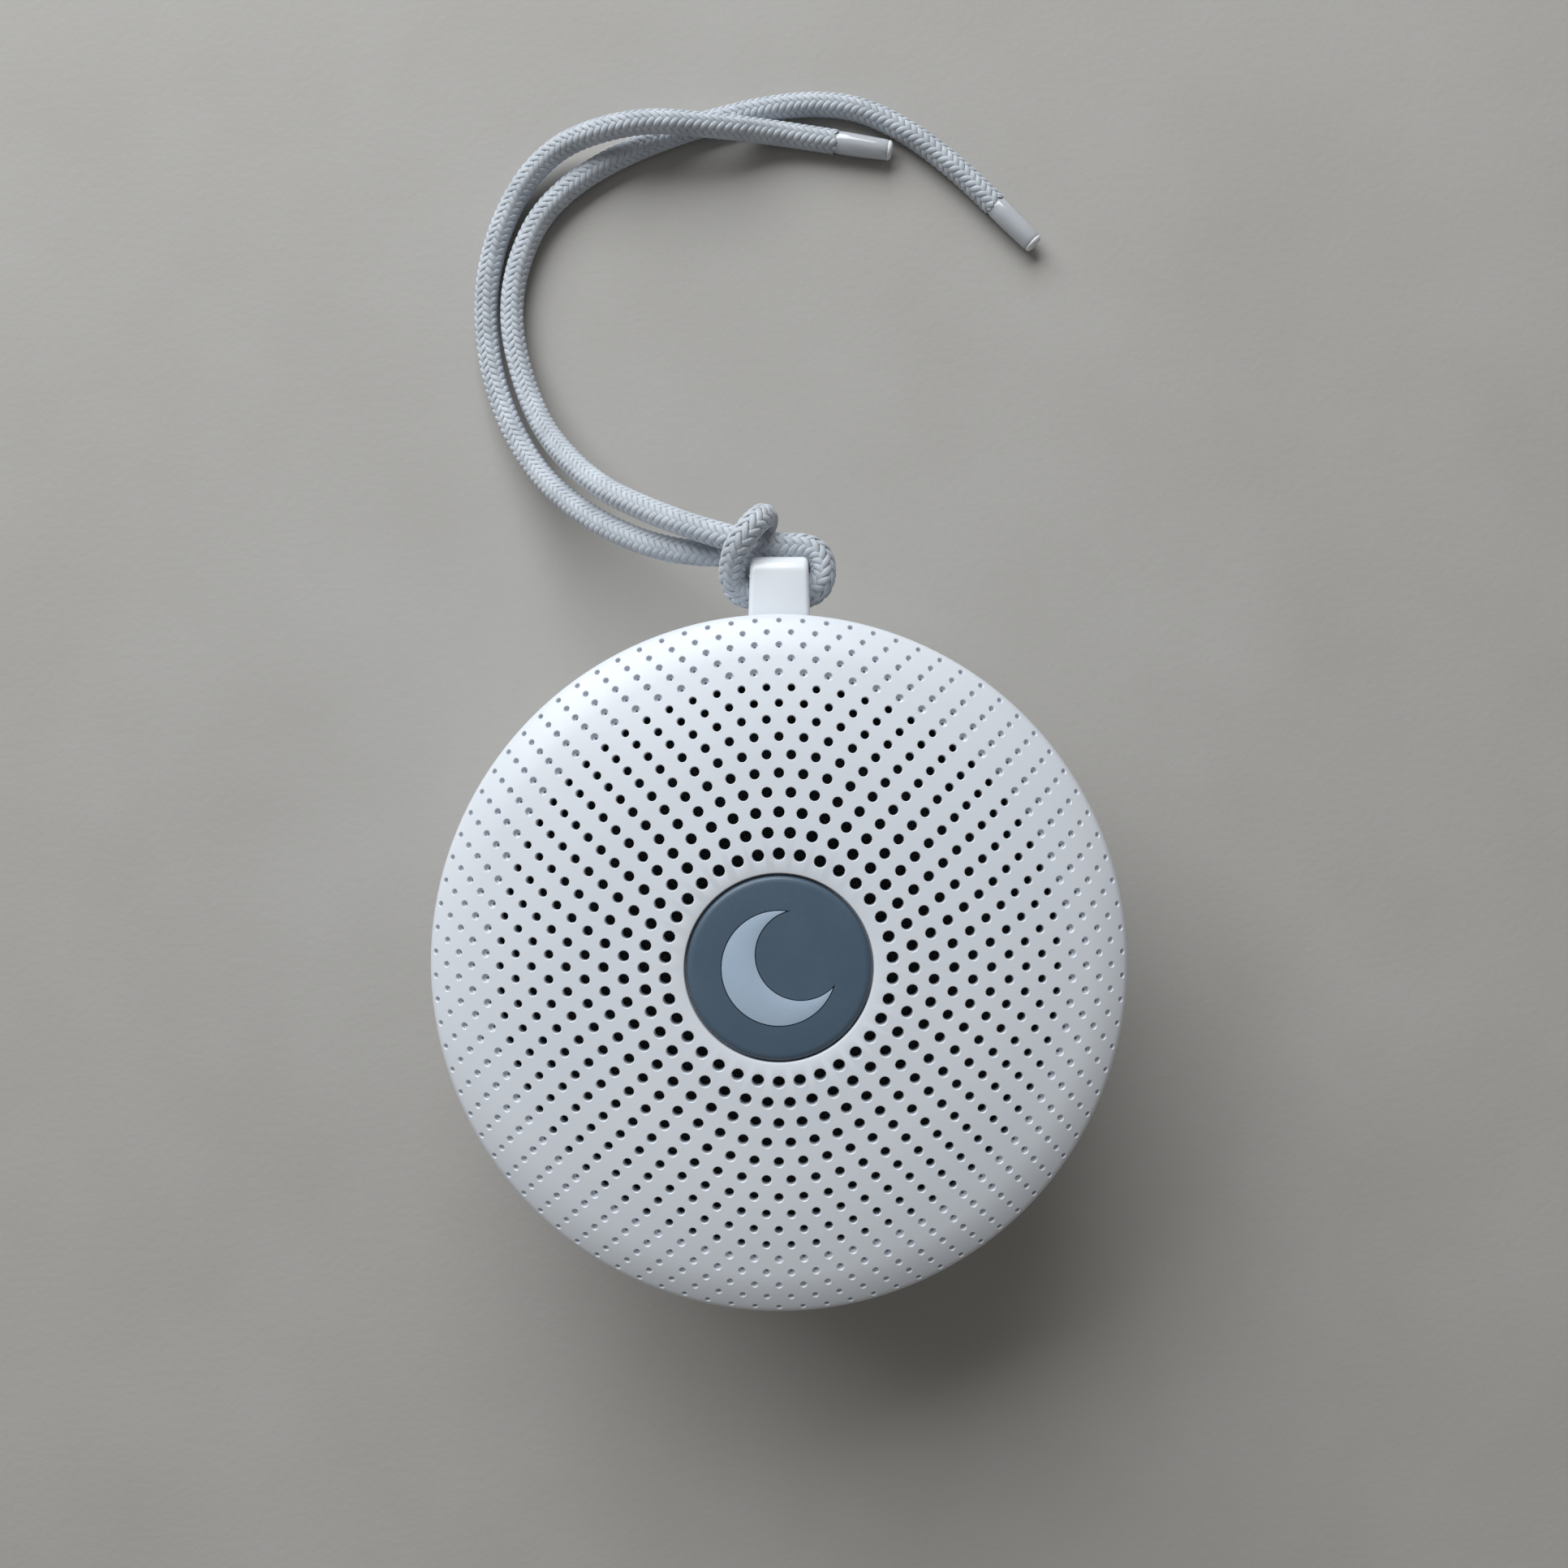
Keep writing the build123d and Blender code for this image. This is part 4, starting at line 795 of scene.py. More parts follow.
# ---- Keys ----
# Five grey keys stand a little proud of the wall, each with a flange behind it that keeps it in. Their
# faces are dished for a fingertip and carry raised marks: power, minus, sun, plus and clock.
KEY_INNER, KEY_FACE = 38.7, 42.7
KEY_DISH = 0.22
DISH_SIZE = (1.2, 7.2, 4.6)   # half axes of the ball that cuts it
STEM_TIP = 37.6               # where a switch's stem meets the key
MARK_RISE = 0.14
FACE_OUT = Matrix(((0, 0, 1, 0), (1, 0, 0, 0), (0, 1, 0, 0), (0, 0, 0, 1)))     # stands a flat mark up
key_grey = skin_material(
    "light grey plastic", (0.40, 0.42, 0.45), (0.47, 0.49, 0.52), 90.0, 2600.0, (0.32, 0.45), 0.012
)
mark_grey = skin_material(
    "dark grey print", (0.035, 0.045, 0.055), (0.06, 0.07, 0.085), 400.0, 4000.0, (0.5, 0.6), 0.01
)


def stroke(length, width, across=0.0, high=0.0, turn=0.0):
    """Straight bar of a mark, drawn flat in the plane that the keys face."""
    piece = brick("stroke", (length, width, 2 * MARK_RISE), (0, 0, 0))
    bevel_edges(piece, min(0.12, 0.3 * width), 2, 60)
    piece.data.transform(placed(0, across, high) @ placed(turn))
    return piece


def loop(radius, width):
    """Ring of a mark."""
    inner, outer = radius - width / 2, radius + width / 2
    return ring("loop", [
        (inner, -MARK_RISE), (outer, -MARK_RISE), (outer, MARK_RISE * 0.6), (radius + width / 3, MARK_RISE),
        (radius - width / 3, MARK_RISE), (inner, MARK_RISE * 0.6),
    ], 40)


def power_mark():
    circle = loop(1.05, 0.3)
    combine(circle, [brick("gap", (0.85, 1.4, 1.0), (0, 1.1, 0))])
    return [circle, stroke(1.15, 0.3, 0, 0.72, 90)]


def minus_mark():
    return [stroke(2.2, 0.36)]


def sun_mark():
    rays = [stroke(0.5, 0.24, *polar(1.3, turn), turn) for turn in range(0, 360, 45)]
    return [loop(0.62, 0.28)] + rays


def plus_mark():
    return [stroke(2.2, 0.36), stroke(2.2, 0.355, turn=90)]


def clock_mark():
    return [loop(1.15, 0.28), stroke(0.7, 0.24, 0, 0.3, 90), stroke(0.55, 0.24, 0.22, -0.02, 0)]


KEYS = (
    ("power", power_mark), ("sound_down", minus_mark), ("light", sun_mark), ("sound_up", plus_mark),
    ("timer", clock_mark),
)
for (key, make_mark), azimuth in zip(KEYS, KEY_AZIMUTHS):
    body = key + "_key"
    cap_size = (KEY_FACE - KEY_INNER, *KEY_SIZE)
    cap = rounded_bar(key + "_key_cap", cap_size, KEY_INNER, azimuth, KEY_LEVEL, 2.0)
    bevel_edges(cap, 0.35, 4, 60)
    dish = primitive("dish", bpy.ops.mesh.primitive_uv_sphere_add, segments=48, ring_count=32, radius=1.0)
    bowl = Matrix.Diagonal((DISH_SIZE[0] * MM, DISH_SIZE[1] * MM, DISH_SIZE[2] * MM, 1))
    dish.data.transform(placed(azimuth, KEY_FACE - KEY_DISH + DISH_SIZE[0], 0, KEY_LEVEL) @ bowl)
    combine(cap, [dish])
    flange_size = (1.0, KEY_SIZE[0] + 1.8, KEY_SIZE[1] + 1.8)
    flange = brick("flange", flange_size, (KEY_INNER + 0.5, 0, KEY_LEVEL), azimuth)
    bevel_edges(flange, 0.2, 2, 60)
    nub = brick("nub", (1.3, 1.4, 1.4), (STEM_TIP + 0.65, 0, KEY_LEVEL), azimuth)
    combine(cap, [flange, nub], "UNION")
    finish_piece(cap, key_grey, "button_grey", key + "_button", body=body, crisp=40)
    mark = joined(key + "_mark", make_mark())
    mark.data.transform(placed(azimuth, KEY_FACE - KEY_DISH, 0, KEY_LEVEL) @ FACE_OUT)
    finish_piece(mark, mark_grey, "button_grey", body=body, crisp=40)
    plunger = brick(key + "_switch_stem", (1.35, 1.4, 1.4), (STEM_TIP - 0.675, 0, KEY_LEVEL), azimuth)
    bevel_edges(plunger, 0.15, 2, 60)
    finish_piece(plunger, switch_black, "switch_black", key + "_plunger", body=body)

# ---- Strap lug ----
# A moulded eye for the cord. Its root is trapped behind the housing wall, and its edges are rounded so that
# they don't cut the cord.
LUG_START, LUG_END = 41.1, 50.8
LUG_LOW, LUG_HIGH = 23.4, 36.0
LUG_MIDDLE = (LUG_LOW + LUG_HIGH) / 2
LUG_WIDTH, LUG_END_WIDTH = 7.9, 7.3
EYE_SIZE = (12.0, 5.0, 8.2)
EYE_OUT = 46.1
STEM_LEVEL = 27.6


def is_far(vert):
    """Whether a corner is at the lug's outer end."""
    return vert.co.y > (LUG_START + LUG_END) / 2 * MM


lug_size = (LUG_WIDTH, LUG_END - LUG_START, LUG_HIGH - LUG_LOW)
lug = brick("lug", lug_size, (0, (LUG_END + LUG_START) / 2, LUG_MIDDLE))
bpy.ops.object.mode_set(mode="EDIT")
select_parts(lug, "verts", is_far)
bpy.ops.transform.resize(value=(LUG_END_WIDTH / LUG_WIDTH, 1, 1), center_override=(0, LUG_END * MM, 0))
select_parts(lug, "edges", lambda edge: lies_across(edge) and all(map(is_far, edge.verts)))
bpy.ops.mesh.bevel(offset=2.2 * MM, segments=8)
bpy.ops.object.mode_set(mode="OBJECT")
eye_tool = brick("eye", EYE_SIZE, (0, EYE_OUT, LUG_MIDDLE))
bpy.ops.object.mode_set(mode="EDIT")
select_parts(eye_tool, "edges", lies_across)
bpy.ops.mesh.bevel(offset=1.6 * MM, segments=8)
bpy.ops.object.mode_set(mode="OBJECT")
combine(lug, [eye_tool])
bevel_edges(lug, 0.65, 4, 40, clamp=False)
stem = brick("stem", (LUG_WIDTH, 3.6, 8.4), (0, 40.0, STEM_LEVEL))
root = brick("flange", (LUG_WIDTH + 4, 1.4, 8.4), (0, 38.9, STEM_LEVEL))
combine(lug, [stem, root], "UNION")
lug_white = skin_material(
    "polished white plastic", (0.735, 0.772, 0.825), (0.775, 0.810, 0.858), 45.0, 2600.0, (0.18, 0.28), 0.008
)
finish_piece(lug, lug_white, "shell_white", "strap_lug", crisp=40)

# ---- Speaker ----
# A small full-range driver faces up under the grille. Its motor is a plated yoke and plate round a ferrite
# ring, its basket is painted steel, and a rubber roll and a corrugated cloth spider carry the paper cone.
plated_steel = skin_material(
    "zinc-plated steel", (0.36, 0.37, 0.36), (0.52, 0.53, 0.50), 160.0, 4200.0, (0.25, 0.42), 0.015, metal=1.0
)
ferrite = skin_material(
    "ferrite", (0.020, 0.020, 0.022), (0.040, 0.040, 0.042), 500.0, 2200.0, (0.5, 0.7), 0.05
)
basket_black = skin_material(
    "black paint on steel", (0.010, 0.010, 0.011), (0.022, 0.022, 0.024), 200.0, 3200.0, (0.3, 0.45), 0.02
)
surround_rubber = skin_material(
    "butyl rubber", (0.012, 0.012, 0.013), (0.026, 0.026, 0.028), 220.0, 2600.0, (0.5, 0.66), 0.03
)


def weave_group():
    """Plain weave: two sets of threads that go over and under each other."""
    sockets = (("Pitch", "NodeSocketFloat", 0.0004),)
    outputs = (("Height", "NodeSocketFloat"), ("Gap", "NodeSocketFloat"))
    group, given, put_out = new_group("plain weave", sockets, outputs)
    phases = [
        compute(group, "MULTIPLY", compute(group, "DIVIDE", part, given["Pitch"]), math.pi)
        for part in turned_place(group)[1:3]
    ]
    waves = [compute(group, "SINE", phase) for phase in phases]
    over = compute(group, "MULTIPLY", *(compute(group, "SIGN", wave) for wave in waves))
    threads = [
        compute(group, "MULTIPLY_ADD", over, rise, compute(group, "ABSOLUTE", wave))
        for rise, wave in zip((0.25, -0.25), waves)
    ]
    height = compute(group, "MAXIMUM", *threads)
    feed(group, put_out["Height"], height)
    # The gap mask marks the low places between the threads, which the cloth paints darker as shade.
    feed(group, put_out["Gap"], compute(group, "LESS_THAN", height, 0.55))
    return group


plain_weave = weave_group()


def woven_material(name, dark, light, pitch, relief, roughness=0.8):
    """Cloth of plain weave, with the low places between the threads painted darker as shade; the pitch and
    the relief are in millimetres.
    """
    material, tree = new_material(name)
    weave = add_node(tree, "Group", plain_weave, Pitch=pitch * MM).outputs
    thread = mix_colours(tree, noise(tree, own_place(tree), 1800.0), dark, light)
    # The gaps between the threads take a darker copy of the thread colour: painted shade.
    colour = mix_colours(tree, weave["Gap"], thread, tuple(0.35 * part for part in dark))
    return dress(material, colour, roughness, weave["Height"], relief)


def paper_material():
    """Pressed black pulp: long fibres and fine rings from the mould."""
    material, tree = new_material("pulp cone")
    place, across, along, up = turned_place(tree)
    fibres = noise(tree, place, 900.0, Detail=4.0, Distortion=1.5)
    squares = [compute(tree, "MULTIPLY", part, part) for part in (across, along)]
    out = compute(tree, "SQRT", compute(tree, "ADD", *squares))
    rings = compute(tree, "SINE", compute(tree, "MULTIPLY", out, 2 * math.pi / (1.1 * MM)))
    colour = mix_colours(tree, fibres, (0.02, 0.02, 0.02), (0.07, 0.068, 0.065))
    return dress(material, colour, 0.85, compute(tree, "MULTIPLY_ADD", rings, 0.2, fibres), 0.08)


def winding_material():
    """Enamelled copper wire in even turns on the lower part, with painted shade in the grooves between turns
    and painted highlight on their crowns, and brown paper former above it.
    """
    material, tree = new_material("coil winding")
    up = turned_place(tree)[3]
    wave = compute(tree, "SINE", compute(tree, "MULTIPLY", up, math.pi / (0.22 * MM)))
    turns = compute(tree, "ABSOLUTE", wave)
    # The copper is painted darker in the grooves between turns, as shade, and lighter on the crowns, as
    # highlight.
    copper = mix_colours(tree, turns, (0.28, 0.09, 0.03), (0.62, 0.26, 0.10))
    above = compute(tree, "GREATER_THAN", up, WINDING_TOP * MM)
    colour = mix_colours(tree, above, copper, (0.16, 0.10, 0.05))
    return dress(material, colour, 0.35, turns, 0.08, 0.8, Metallic=compute(tree, "SUBTRACT", 1.0, above))


YOKE_LOW, MAGNET_LOW, PLATE_LOW, BASKET_LOW = 20.6, 22.4, 26.4, 28.0
BASKET_FLOOR = 28.8
BAFFLE_TOP = 34.0
FLANGE_LOW, FLANGE_TOP = 34.8, 36.0
WINDING_TOP, COIL_TOP = 29.2, 31.7


def tube_piece(name, outer, inner, low, high, edge=0.15, sides=96):
    """Ring with small chamfers on all its edges."""
    return ring(name, [
        (inner, low + edge), (inner + edge, low), (outer - edge, low), (outer, low + edge),
        (outer, high - edge), (outer - edge, high), (inner + edge, high), (inner, high - edge),
    ], sides)


yoke = lathe("motor_yoke", [
    (0, YOKE_LOW), (13.5, YOKE_LOW), (14.0, YOKE_LOW + 0.4), (14.0, 22.2), (13.8, MAGNET_LOW),
    (5.6, MAGNET_LOW), (5.6, 27.7), (5.3, BASKET_LOW), (0, BASKET_LOW),
], 96)
combine(yoke, [post("vent", 1.6, 20.0, 29.0)])
finish_piece(yoke, plated_steel, "plated_steel", "speaker_yoke")
magnet = tube_piece("motor_magnet", 15.5, 8.5, MAGNET_LOW, PLATE_LOW, 0.4)
finish_piece(magnet, ferrite, "ferrite", "speaker_magnet")
plate = tube_piece("motor_plate", 14.0, 7.0, PLATE_LOW, BASKET_LOW)
finish_piece(plate, plated_steel, "plated_steel", "speaker_top_plate")
basket = ring("basket_pan", [
    (7.0, BASKET_LOW), (14.6, BASKET_LOW), (14.95, 28.12), (22.45, 34.66), (22.8, FLANGE_LOW),
    (25.8, FLANGE_LOW), (26.0, 35.0), (26.0, 35.8), (25.8, FLANGE_TOP), (22.0, FLANGE_TOP), (21.8, 35.8),
    (21.8, FLANGE_LOW), (14.0, BASKET_FLOOR), (7.0, BASKET_FLOOR),
], 128)
basket_cuts = [brick("window", (10.0, 12.0, 3.0), (18.7, 0, 31.4), azimuth) for azimuth in (0, 180)]
combine(basket, basket_cuts + posts("hole", 1.0, 34.0, 37.0, SPEAKER_SCREWS, 20))
finish_piece(basket, basket_black, "basket_black", "speaker_basket")
gasket = tube_piece("flange_gasket", 26.0, 22.8, BAFFLE_TOP, FLANGE_LOW, 0.08)
combine(gasket, posts("hole", 1.0, 33.0, 36.0, SPEAKER_SCREWS, 20))
finish_piece(gasket, foam, "foam", "speaker_gasket")
wire_pair("speaker_wires", 90, out_start=18.3, level_start=30.0, out_turn=30.0)

SPIDER_LOW, SPIDER_FOLD, SPIDER_THICK = 30.25, 0.2, 0.10
folds = [(6.7 + 0.28 * k, 0.5 + 0.5 * math.sin(2 * math.pi * k / 8)) for k in range(33)]
spider_profile = [(x, SPIDER_LOW + SPIDER_THICK + SPIDER_FOLD * rise) for x, rise in folds]
spider_profile += [(x, SPIDER_LOW + SPIDER_FOLD * rise) for x, rise in reversed(folds)]
spider = ring("cloth_spider", spider_profile, 96)
spider_cloth = woven_material("treated cotton cloth", (0.26, 0.13, 0.035), (0.42, 0.23, 0.07), 0.45, 0.06)
finish_piece(spider, spider_cloth, "spider_cloth", "speaker_spider", crisp=70)


def arch(middle, half_width, level, rise):
    """Half an ellipse over a middle radius, in fifteen-degree steps."""
    turns = [math.pi * k / 12 for k in range(13)]
    return [(middle - half_width * math.cos(turn), level + rise * math.sin(turn)) for turn in turns]


surround_profile = [(17.8, FLANGE_TOP), (17.8, 36.35), *arch(20.4, 1.0, 36.4, 1.0), (22.6, 36.4)]
surround_profile += [(22.6, FLANGE_TOP), (21.3, FLANGE_TOP), *arch(20.4, -0.75, 36.2, 0.85)]
surround_profile += [(19.4, FLANGE_TOP)]
surround = ring("rubber_surround", surround_profile, 128)
finish_piece(surround, surround_rubber, "surround_rubber", "speaker_surround", crisp=50)
paper = paper_material()
cone_line = [k / 10 for k in range(11)]
cone_profile = [(6.6 + 12.4 * k, COIL_TOP + 3.8 * k ** 1.12) for k in cone_line]
cone_profile += [(19.0, FLANGE_TOP), (17.5, FLANGE_TOP)]
cone_profile += [(6.0 + 11.5 * k, COIL_TOP + 4.3 * k ** 1.12) for k in reversed(cone_line[:-1])]
cone = ring("paper_cone", cone_profile, 128)
finish_piece(cone, paper, "cone_paper", "speaker_cone", body="speaker_moving_part", crisp=40)
coil = tube_piece("coil_former", 6.6, 6.0, PLATE_LOW, COIL_TOP, 0.05)
finish_piece(coil, winding_material(), "coil_copper", "voice_coil", body="speaker_moving_part")
DUST_LOW = 32.3
dust_turns = [math.pi / 2 * k / 10 for k in range(11)]
dust_dome = [(7.5 * math.sin(turn), DUST_LOW + 1.6 * math.cos(turn)) for turn in dust_turns]
dust_cap = lathe("dust_dome", dust_dome + [(0, DUST_LOW)], 96)
finish_piece(dust_cap, paper, "cone_paper", "speaker_dust_cap", body="speaker_moving_part", crisp=50)

# ---- Baffle and cloth ----
# A black plate on the housing's ledge carries the speaker, and a fine black cloth behind the holes keeps
# the dust out.
inner_black = skin_material(
    "black inner plastic", (0.010, 0.010, 0.011), (0.018, 0.018, 0.019), 120.0, 2600.0, (0.5, 0.65), 0.02
)
baffle = tube_piece("speaker_baffle", 40.7, 22.8, LEDGE, BAFFLE_TOP, 0.1, 144)
combine(baffle, posts("pilot", 0.85, 31.0, 35.0, SPEAKER_SCREWS, 16))
finish_piece(baffle, inner_black, "inner_black", "baffle_plate")
CLOTH_LEVEL = 42.13
CLOTH_THICK = 0.4
cloth_line = [(12.72, CLOTH_LEVEL), (26.5, CLOTH_LEVEL), (35.5, 39.97)]
cloth_profile = cloth_line + [(x, z + CLOTH_THICK) for x, z in reversed(cloth_line)]
cloth = ring("dust_cloth_disc", cloth_profile, 96)
black_cloth = woven_material("black dust cloth", (0.006, 0.006, 0.007), (0.02, 0.02, 0.022), 0.4, 0.08, 0.9)
finish_piece(cloth, black_cloth, "grille_cloth", "dust_cloth")

# ---- Grille ----
# The top is one moulding: a shallow dome with fifteen rings of holes that get smaller outwards. Ten rings
# go through. The outer five are blind dimples, which carry the pattern on to the rim.
RIM_R = 43.0
SKIRT_LOW = 36.7
RECESS_R = 11.32
RECESS_FLOOR, RECESS_UNDER = 43.08, 41.48
WALL_R = 39.0
UNDER_LEVEL = 42.63
DOME_TOP = 44.932
# For each arc: its radius, the sine of its slope where it starts and ends, and its steps
DOME_ARCS = (
    (320.0, 0.0, 0.075, 3), (85.0, 0.075, 0.23382, 7),
    (17.0, 0.23382, 0.51029, 6), (1.63363, 0.51029, 1.0, 8),
)
THROUGH_RINGS, RINGS = 10, 15
FIRST_RING_R = 13.65
RING_STEP, RING_CLOSING = 2.575, 0.0388
FIRST_RING_HOLES, MORE_HOLES = 34, 4
FIRST_HOLE_R, HOLE_SHRINK = 0.75, 0.0306
DIMPLE_RADII = (0.475, 0.43, 0.39, 0.35, 0.31)
HOLE_FLARE = 0.09
HOLE_DEPTH = 4.6
DIMPLE_DEPTH = 0.62
PIT_DEPTH = 1.15              # a drill point in the middle of each dimple


def dome_profile():
    """Points down the outside of the dome, from the middle to the rim, along its tangent arcs."""
    points = [(0.0, DOME_TOP)]
    for radius, start, end, steps in DOME_ARCS:
        from_x, from_z = points[-1]
        for step in range(1, steps + 1):
            turn = math.asin(start) + (math.asin(end) - math.asin(start)) * step / steps
            x = from_x + radius * (math.sin(turn) - start)
            points.append((x, from_z - radius * (math.cos(math.asin(start)) - math.cos(turn))))
    return points


def dome_level(radius):
    """Height of the dome's surface, and the sine of its slope, at a distance from the axis."""
    from_x, from_z = 0.0, DOME_TOP
    for arc, start, end, steps in DOME_ARCS:
        sine = start + (radius - from_x) / arc
        if sine <= end:
            return from_z - arc * (math.sqrt(1 - start**2) - math.sqrt(1 - sine**2)), sine
        from_x += arc * (end - start)
        from_z -= arc * (math.sqrt(1 - start**2) - math.sqrt(1 - end**2))
    return from_z, 1.0


def hole_rings():
    """Each ring's number, radius, count, half step and hole radius."""
    for index in range(RINGS):
        radius = FIRST_RING_R + RING_STEP * index - RING_CLOSING * index**2
        size = FIRST_HOLE_R - HOLE_SHRINK * index
        if index >= THROUGH_RINGS:
            size = DIMPLE_RADII[index - THROUGH_RINGS]
        yield index, radius, FIRST_RING_HOLES + MORE_HOLES * index, 0.5 * (index % 2), size


mouth_level = dome_level(RECESS_R + 0.25)[0]
grille_profile = [
    (RECESS_R, RECESS_FLOOR), (RECESS_R, mouth_level - 0.22), (RECESS_R + 0.08, mouth_level - 0.06),
    (RECESS_R + 0.25, mouth_level), *((x, z) for x, z in dome_profile() if x > RECESS_R + 0.5),
    (RIM_R, SKIRT_LOW + 0.2), (RIM_R - 0.2, SKIRT_LOW), (40.7, SKIRT_LOW), (40.7, 32.05), (WALL_R, 32.05),
    (WALL_R, 39.63), (26.5, UNDER_LEVEL), (12.52, UNDER_LEVEL), (12.52, RECESS_UNDER), (2.5, RECESS_UNDER),
    (2.5, RECESS_FLOOR),
]
dome = ring("grille_dome", grille_profile, 160)
cutters = []
for index, radius, count, stagger, size in hole_rings():
    level, sine = dome_level(radius)
    profile = [(size, -HOLE_FLARE), (size + HOLE_FLARE, 0)]
    if index < THROUGH_RINGS:
        profile = [(0, -HOLE_DEPTH), (size, -HOLE_DEPTH), *profile, (size + 0.4, 0.31), (0, 0.31)]
        lean = Matrix.Identity(4)
        lean[2][0] = -sine / math.sqrt(1 - sine**2)
    else:
        pit = [(0, -PIT_DEPTH), (0.32 * size, -PIT_DEPTH), (0.42 * size, -DIMPLE_DEPTH)]
        profile = [*pit, (size, -0.8 * DIMPLE_DEPTH), *profile, (size + 0.3, 0.21), (0, 0.21)]
        lean = Matrix.Rotation(math.asin(sine), 4, "Y")
    tool = lathe("hole", profile, 12)
    at_ring = Matrix.Translation((radius * MM, 0, level * MM)) @ lean
    for place in range(count):
        bearing = math.radians(90 - 360 * (place + stagger) / count)
        cutter = new_object("hole", tool.data.copy())
        cutter.data.transform(Matrix.Rotation(bearing, 4, "Z") @ at_ring)
        cutters.append(cutter)
    bpy.data.objects.remove(tool)
combine(dome, [joined("holes", cutters)])
finish_piece(dome, white_plastic, "grille_white", "grille", crisp=32)

# ---- Centre cap ----
# A slate-coloured disc closes the middle of the grille. Its stem goes through the grille's floor to a push
# nut. A crescent of pale blue plastic is set into it, level with its face.
CAP_R = 11.07
CAP_TOP = 44.78
slate = skin_material(
    "slate plastic", (0.060, 0.096, 0.139), (0.076, 0.118, 0.167), 70.0, 2200.0, (0.34, 0.46), 0.012
)
pale_blue = skin_material(
    "pale blue plastic", (0.345, 0.445, 0.565), (0.395, 0.495, 0.615), 70.0, 2400.0, (0.36, 0.48), 0.010
)


def crescent(name, margin, low, high):
    """Disc with a smaller disc bitten out of it."""
    moon = post(name, 6.85 + margin, low, high, (0, 0), 96)
    combine(moon, [post("bite", 5.5 - margin, low - 1, high + 1, (2.6, 1.6), 96)])
    return moon


cap_edge = [(0, 0.6), (0.06, 0.36), (0.22, 0.16), (0.48, 0.04), (0.85, 0)]
cap_profile = [(0, 39.88), (2.4, 39.88), (2.4, RECESS_FLOOR), (CAP_R, RECESS_FLOOR)]
cap_profile += [(CAP_R - inwards, CAP_TOP - down) for inwards, down in cap_edge] + [(0, CAP_TOP)]
cap = lathe("cap_disc", cap_profile, 144)
combine(cap, [crescent("pocket", 0.12, CAP_TOP - 0.8, CAP_TOP + 1)])
finish_piece(cap, slate, "cap_slate", "centre_cap", crisp=40)
moon = crescent("crescent_inlay", 0.0, CAP_TOP - 0.7, CAP_TOP)
bevel_edges(moon, 0.16, 3, 40)
finish_piece(moon, pale_blue, "inlay_blue", "cap_inlay", crisp=50)
nut = tube_piece("push_nut_disc", 4.2, 2.42, RECESS_UNDER - 0.5, RECESS_UNDER, 0.08, 64)
slots = [brick("slot", (1.4, 0.35, 2.0), (2.9, 0, 41.2), 60 * k) for k in range(6)]
combine(nut, [joined("slots", slots)])
finish_piece(nut, plated_steel, "plated_steel", "cap_push_nut")

# ---- Wrist cord ----
# One polyester cord of 3.6 mm, braided from sixteen flat strands round a core, and hitched on the lug by
# its middle. Its two tails lie on the table. Each route goes from the middle of the hitch to a tip, by points
# (across, out from the grille's rim, up from the table) in millimetres.
STRANDS_EACH_WAY = 8
LAY = 8.8                     # length in which a strand goes once round the cord
STRAND_HALF_WIDTH = 0.47
STRAND_HALF_THICKNESS = 0.21
STRAND_MEAN_RADIUS = 1.44
STRAND_WAVE = 0.13            # how far a strand rises and dips where it passes over and under
BRAID_STEP = 0.3
SECTION_POINTS = 6
LONG_TAIL = [
    (-1.9, 13.3, 29.7), (-1.9, 13.3, 33.5), (-3.6, 11.2, 36.7), (-5.8, 8.0, 36.0), (-6.2, 3.4, 31.7),
    (5.6, 3.2, 31.7), (5.6, 9.5, 31.7), (-1.2, 9.5, 31.7), (-7.0, 10.8, 30.9), (-16.3, 14.7, 25.5),
    (-26.9, 21.1, 16.4), (-37.0, 33.9, 3.3), (-41.3, 52.6, 1.8), (-32.5, 69.9, 1.8), (-0.1, 81.3, 1.8),
    (18.8, 78.5, 1.8), (32.0, 65.2, 1.8),
]
SHORT_TAIL = [
    (-1.9, 13.3, 29.7), (-1.9, 13.3, 25.9), (-3.6, 11.2, 22.7), (-5.8, 7.9, 22.9), (-6.2, 3.4, 27.7),
    (5.6, 3.2, 27.7), (5.6, 9.5, 27.7), (-1.2, 9.3, 27.6), (-14.2, 9.6, 24.5), (-26.5, 15.8, 15.2),
    (-36.9, 25.7, 5.2), (-43.6, 40.6, 1.8), (-43.9, 57.3, 1.8), (-36.0, 72.5, 2.6), (-21.9, 75.7, 7.1),
    (-8.8, 75.2, 5.8), (-0.6, 76.0, 1.8), (8.3, 74.6, 1.8),
]


def centre_line(route):
    """Points of a tail's centre line, in metres."""
    mesh = steered_mesh([(across, RIM_R + out, up) for across, out, up in route], 24)
    points = np.array([vertex.co[:] for vertex in mesh.vertices])
    bpy.data.meshes.remove(mesh)
    return points


def evenly(points, step):
    """The same line with points at even steps, and its length up to each of them."""
    runs = np.linalg.norm(np.diff(points, axis=0), axis=1)
    points = points[np.concatenate([[True], runs > 1e-7])]
    along = np.concatenate([[0], np.cumsum(np.linalg.norm(np.diff(points, axis=0), axis=1))])
    stations = np.linspace(0, along[-1], int(along[-1] / step) + 1)
    return np.stack([np.interp(stations, along, points[:, k]) for k in range(3)], axis=1), stations


def frames_along(points, first_side):
    """Tangent and two side directions at each point, carried along the line without twist."""
    tangents = np.gradient(points, axis=0)
    tangents /= np.linalg.norm(tangents, axis=1)[:, None]
    side = np.array(first_side, float)
    sides = []
    for tangent in tangents:
        side = side - tangent * side.dot(tangent)
        side /= np.linalg.norm(side)
        sides.append(side)
    sides = np.array(sides)
    return tangents, sides, np.cross(tangents, sides)


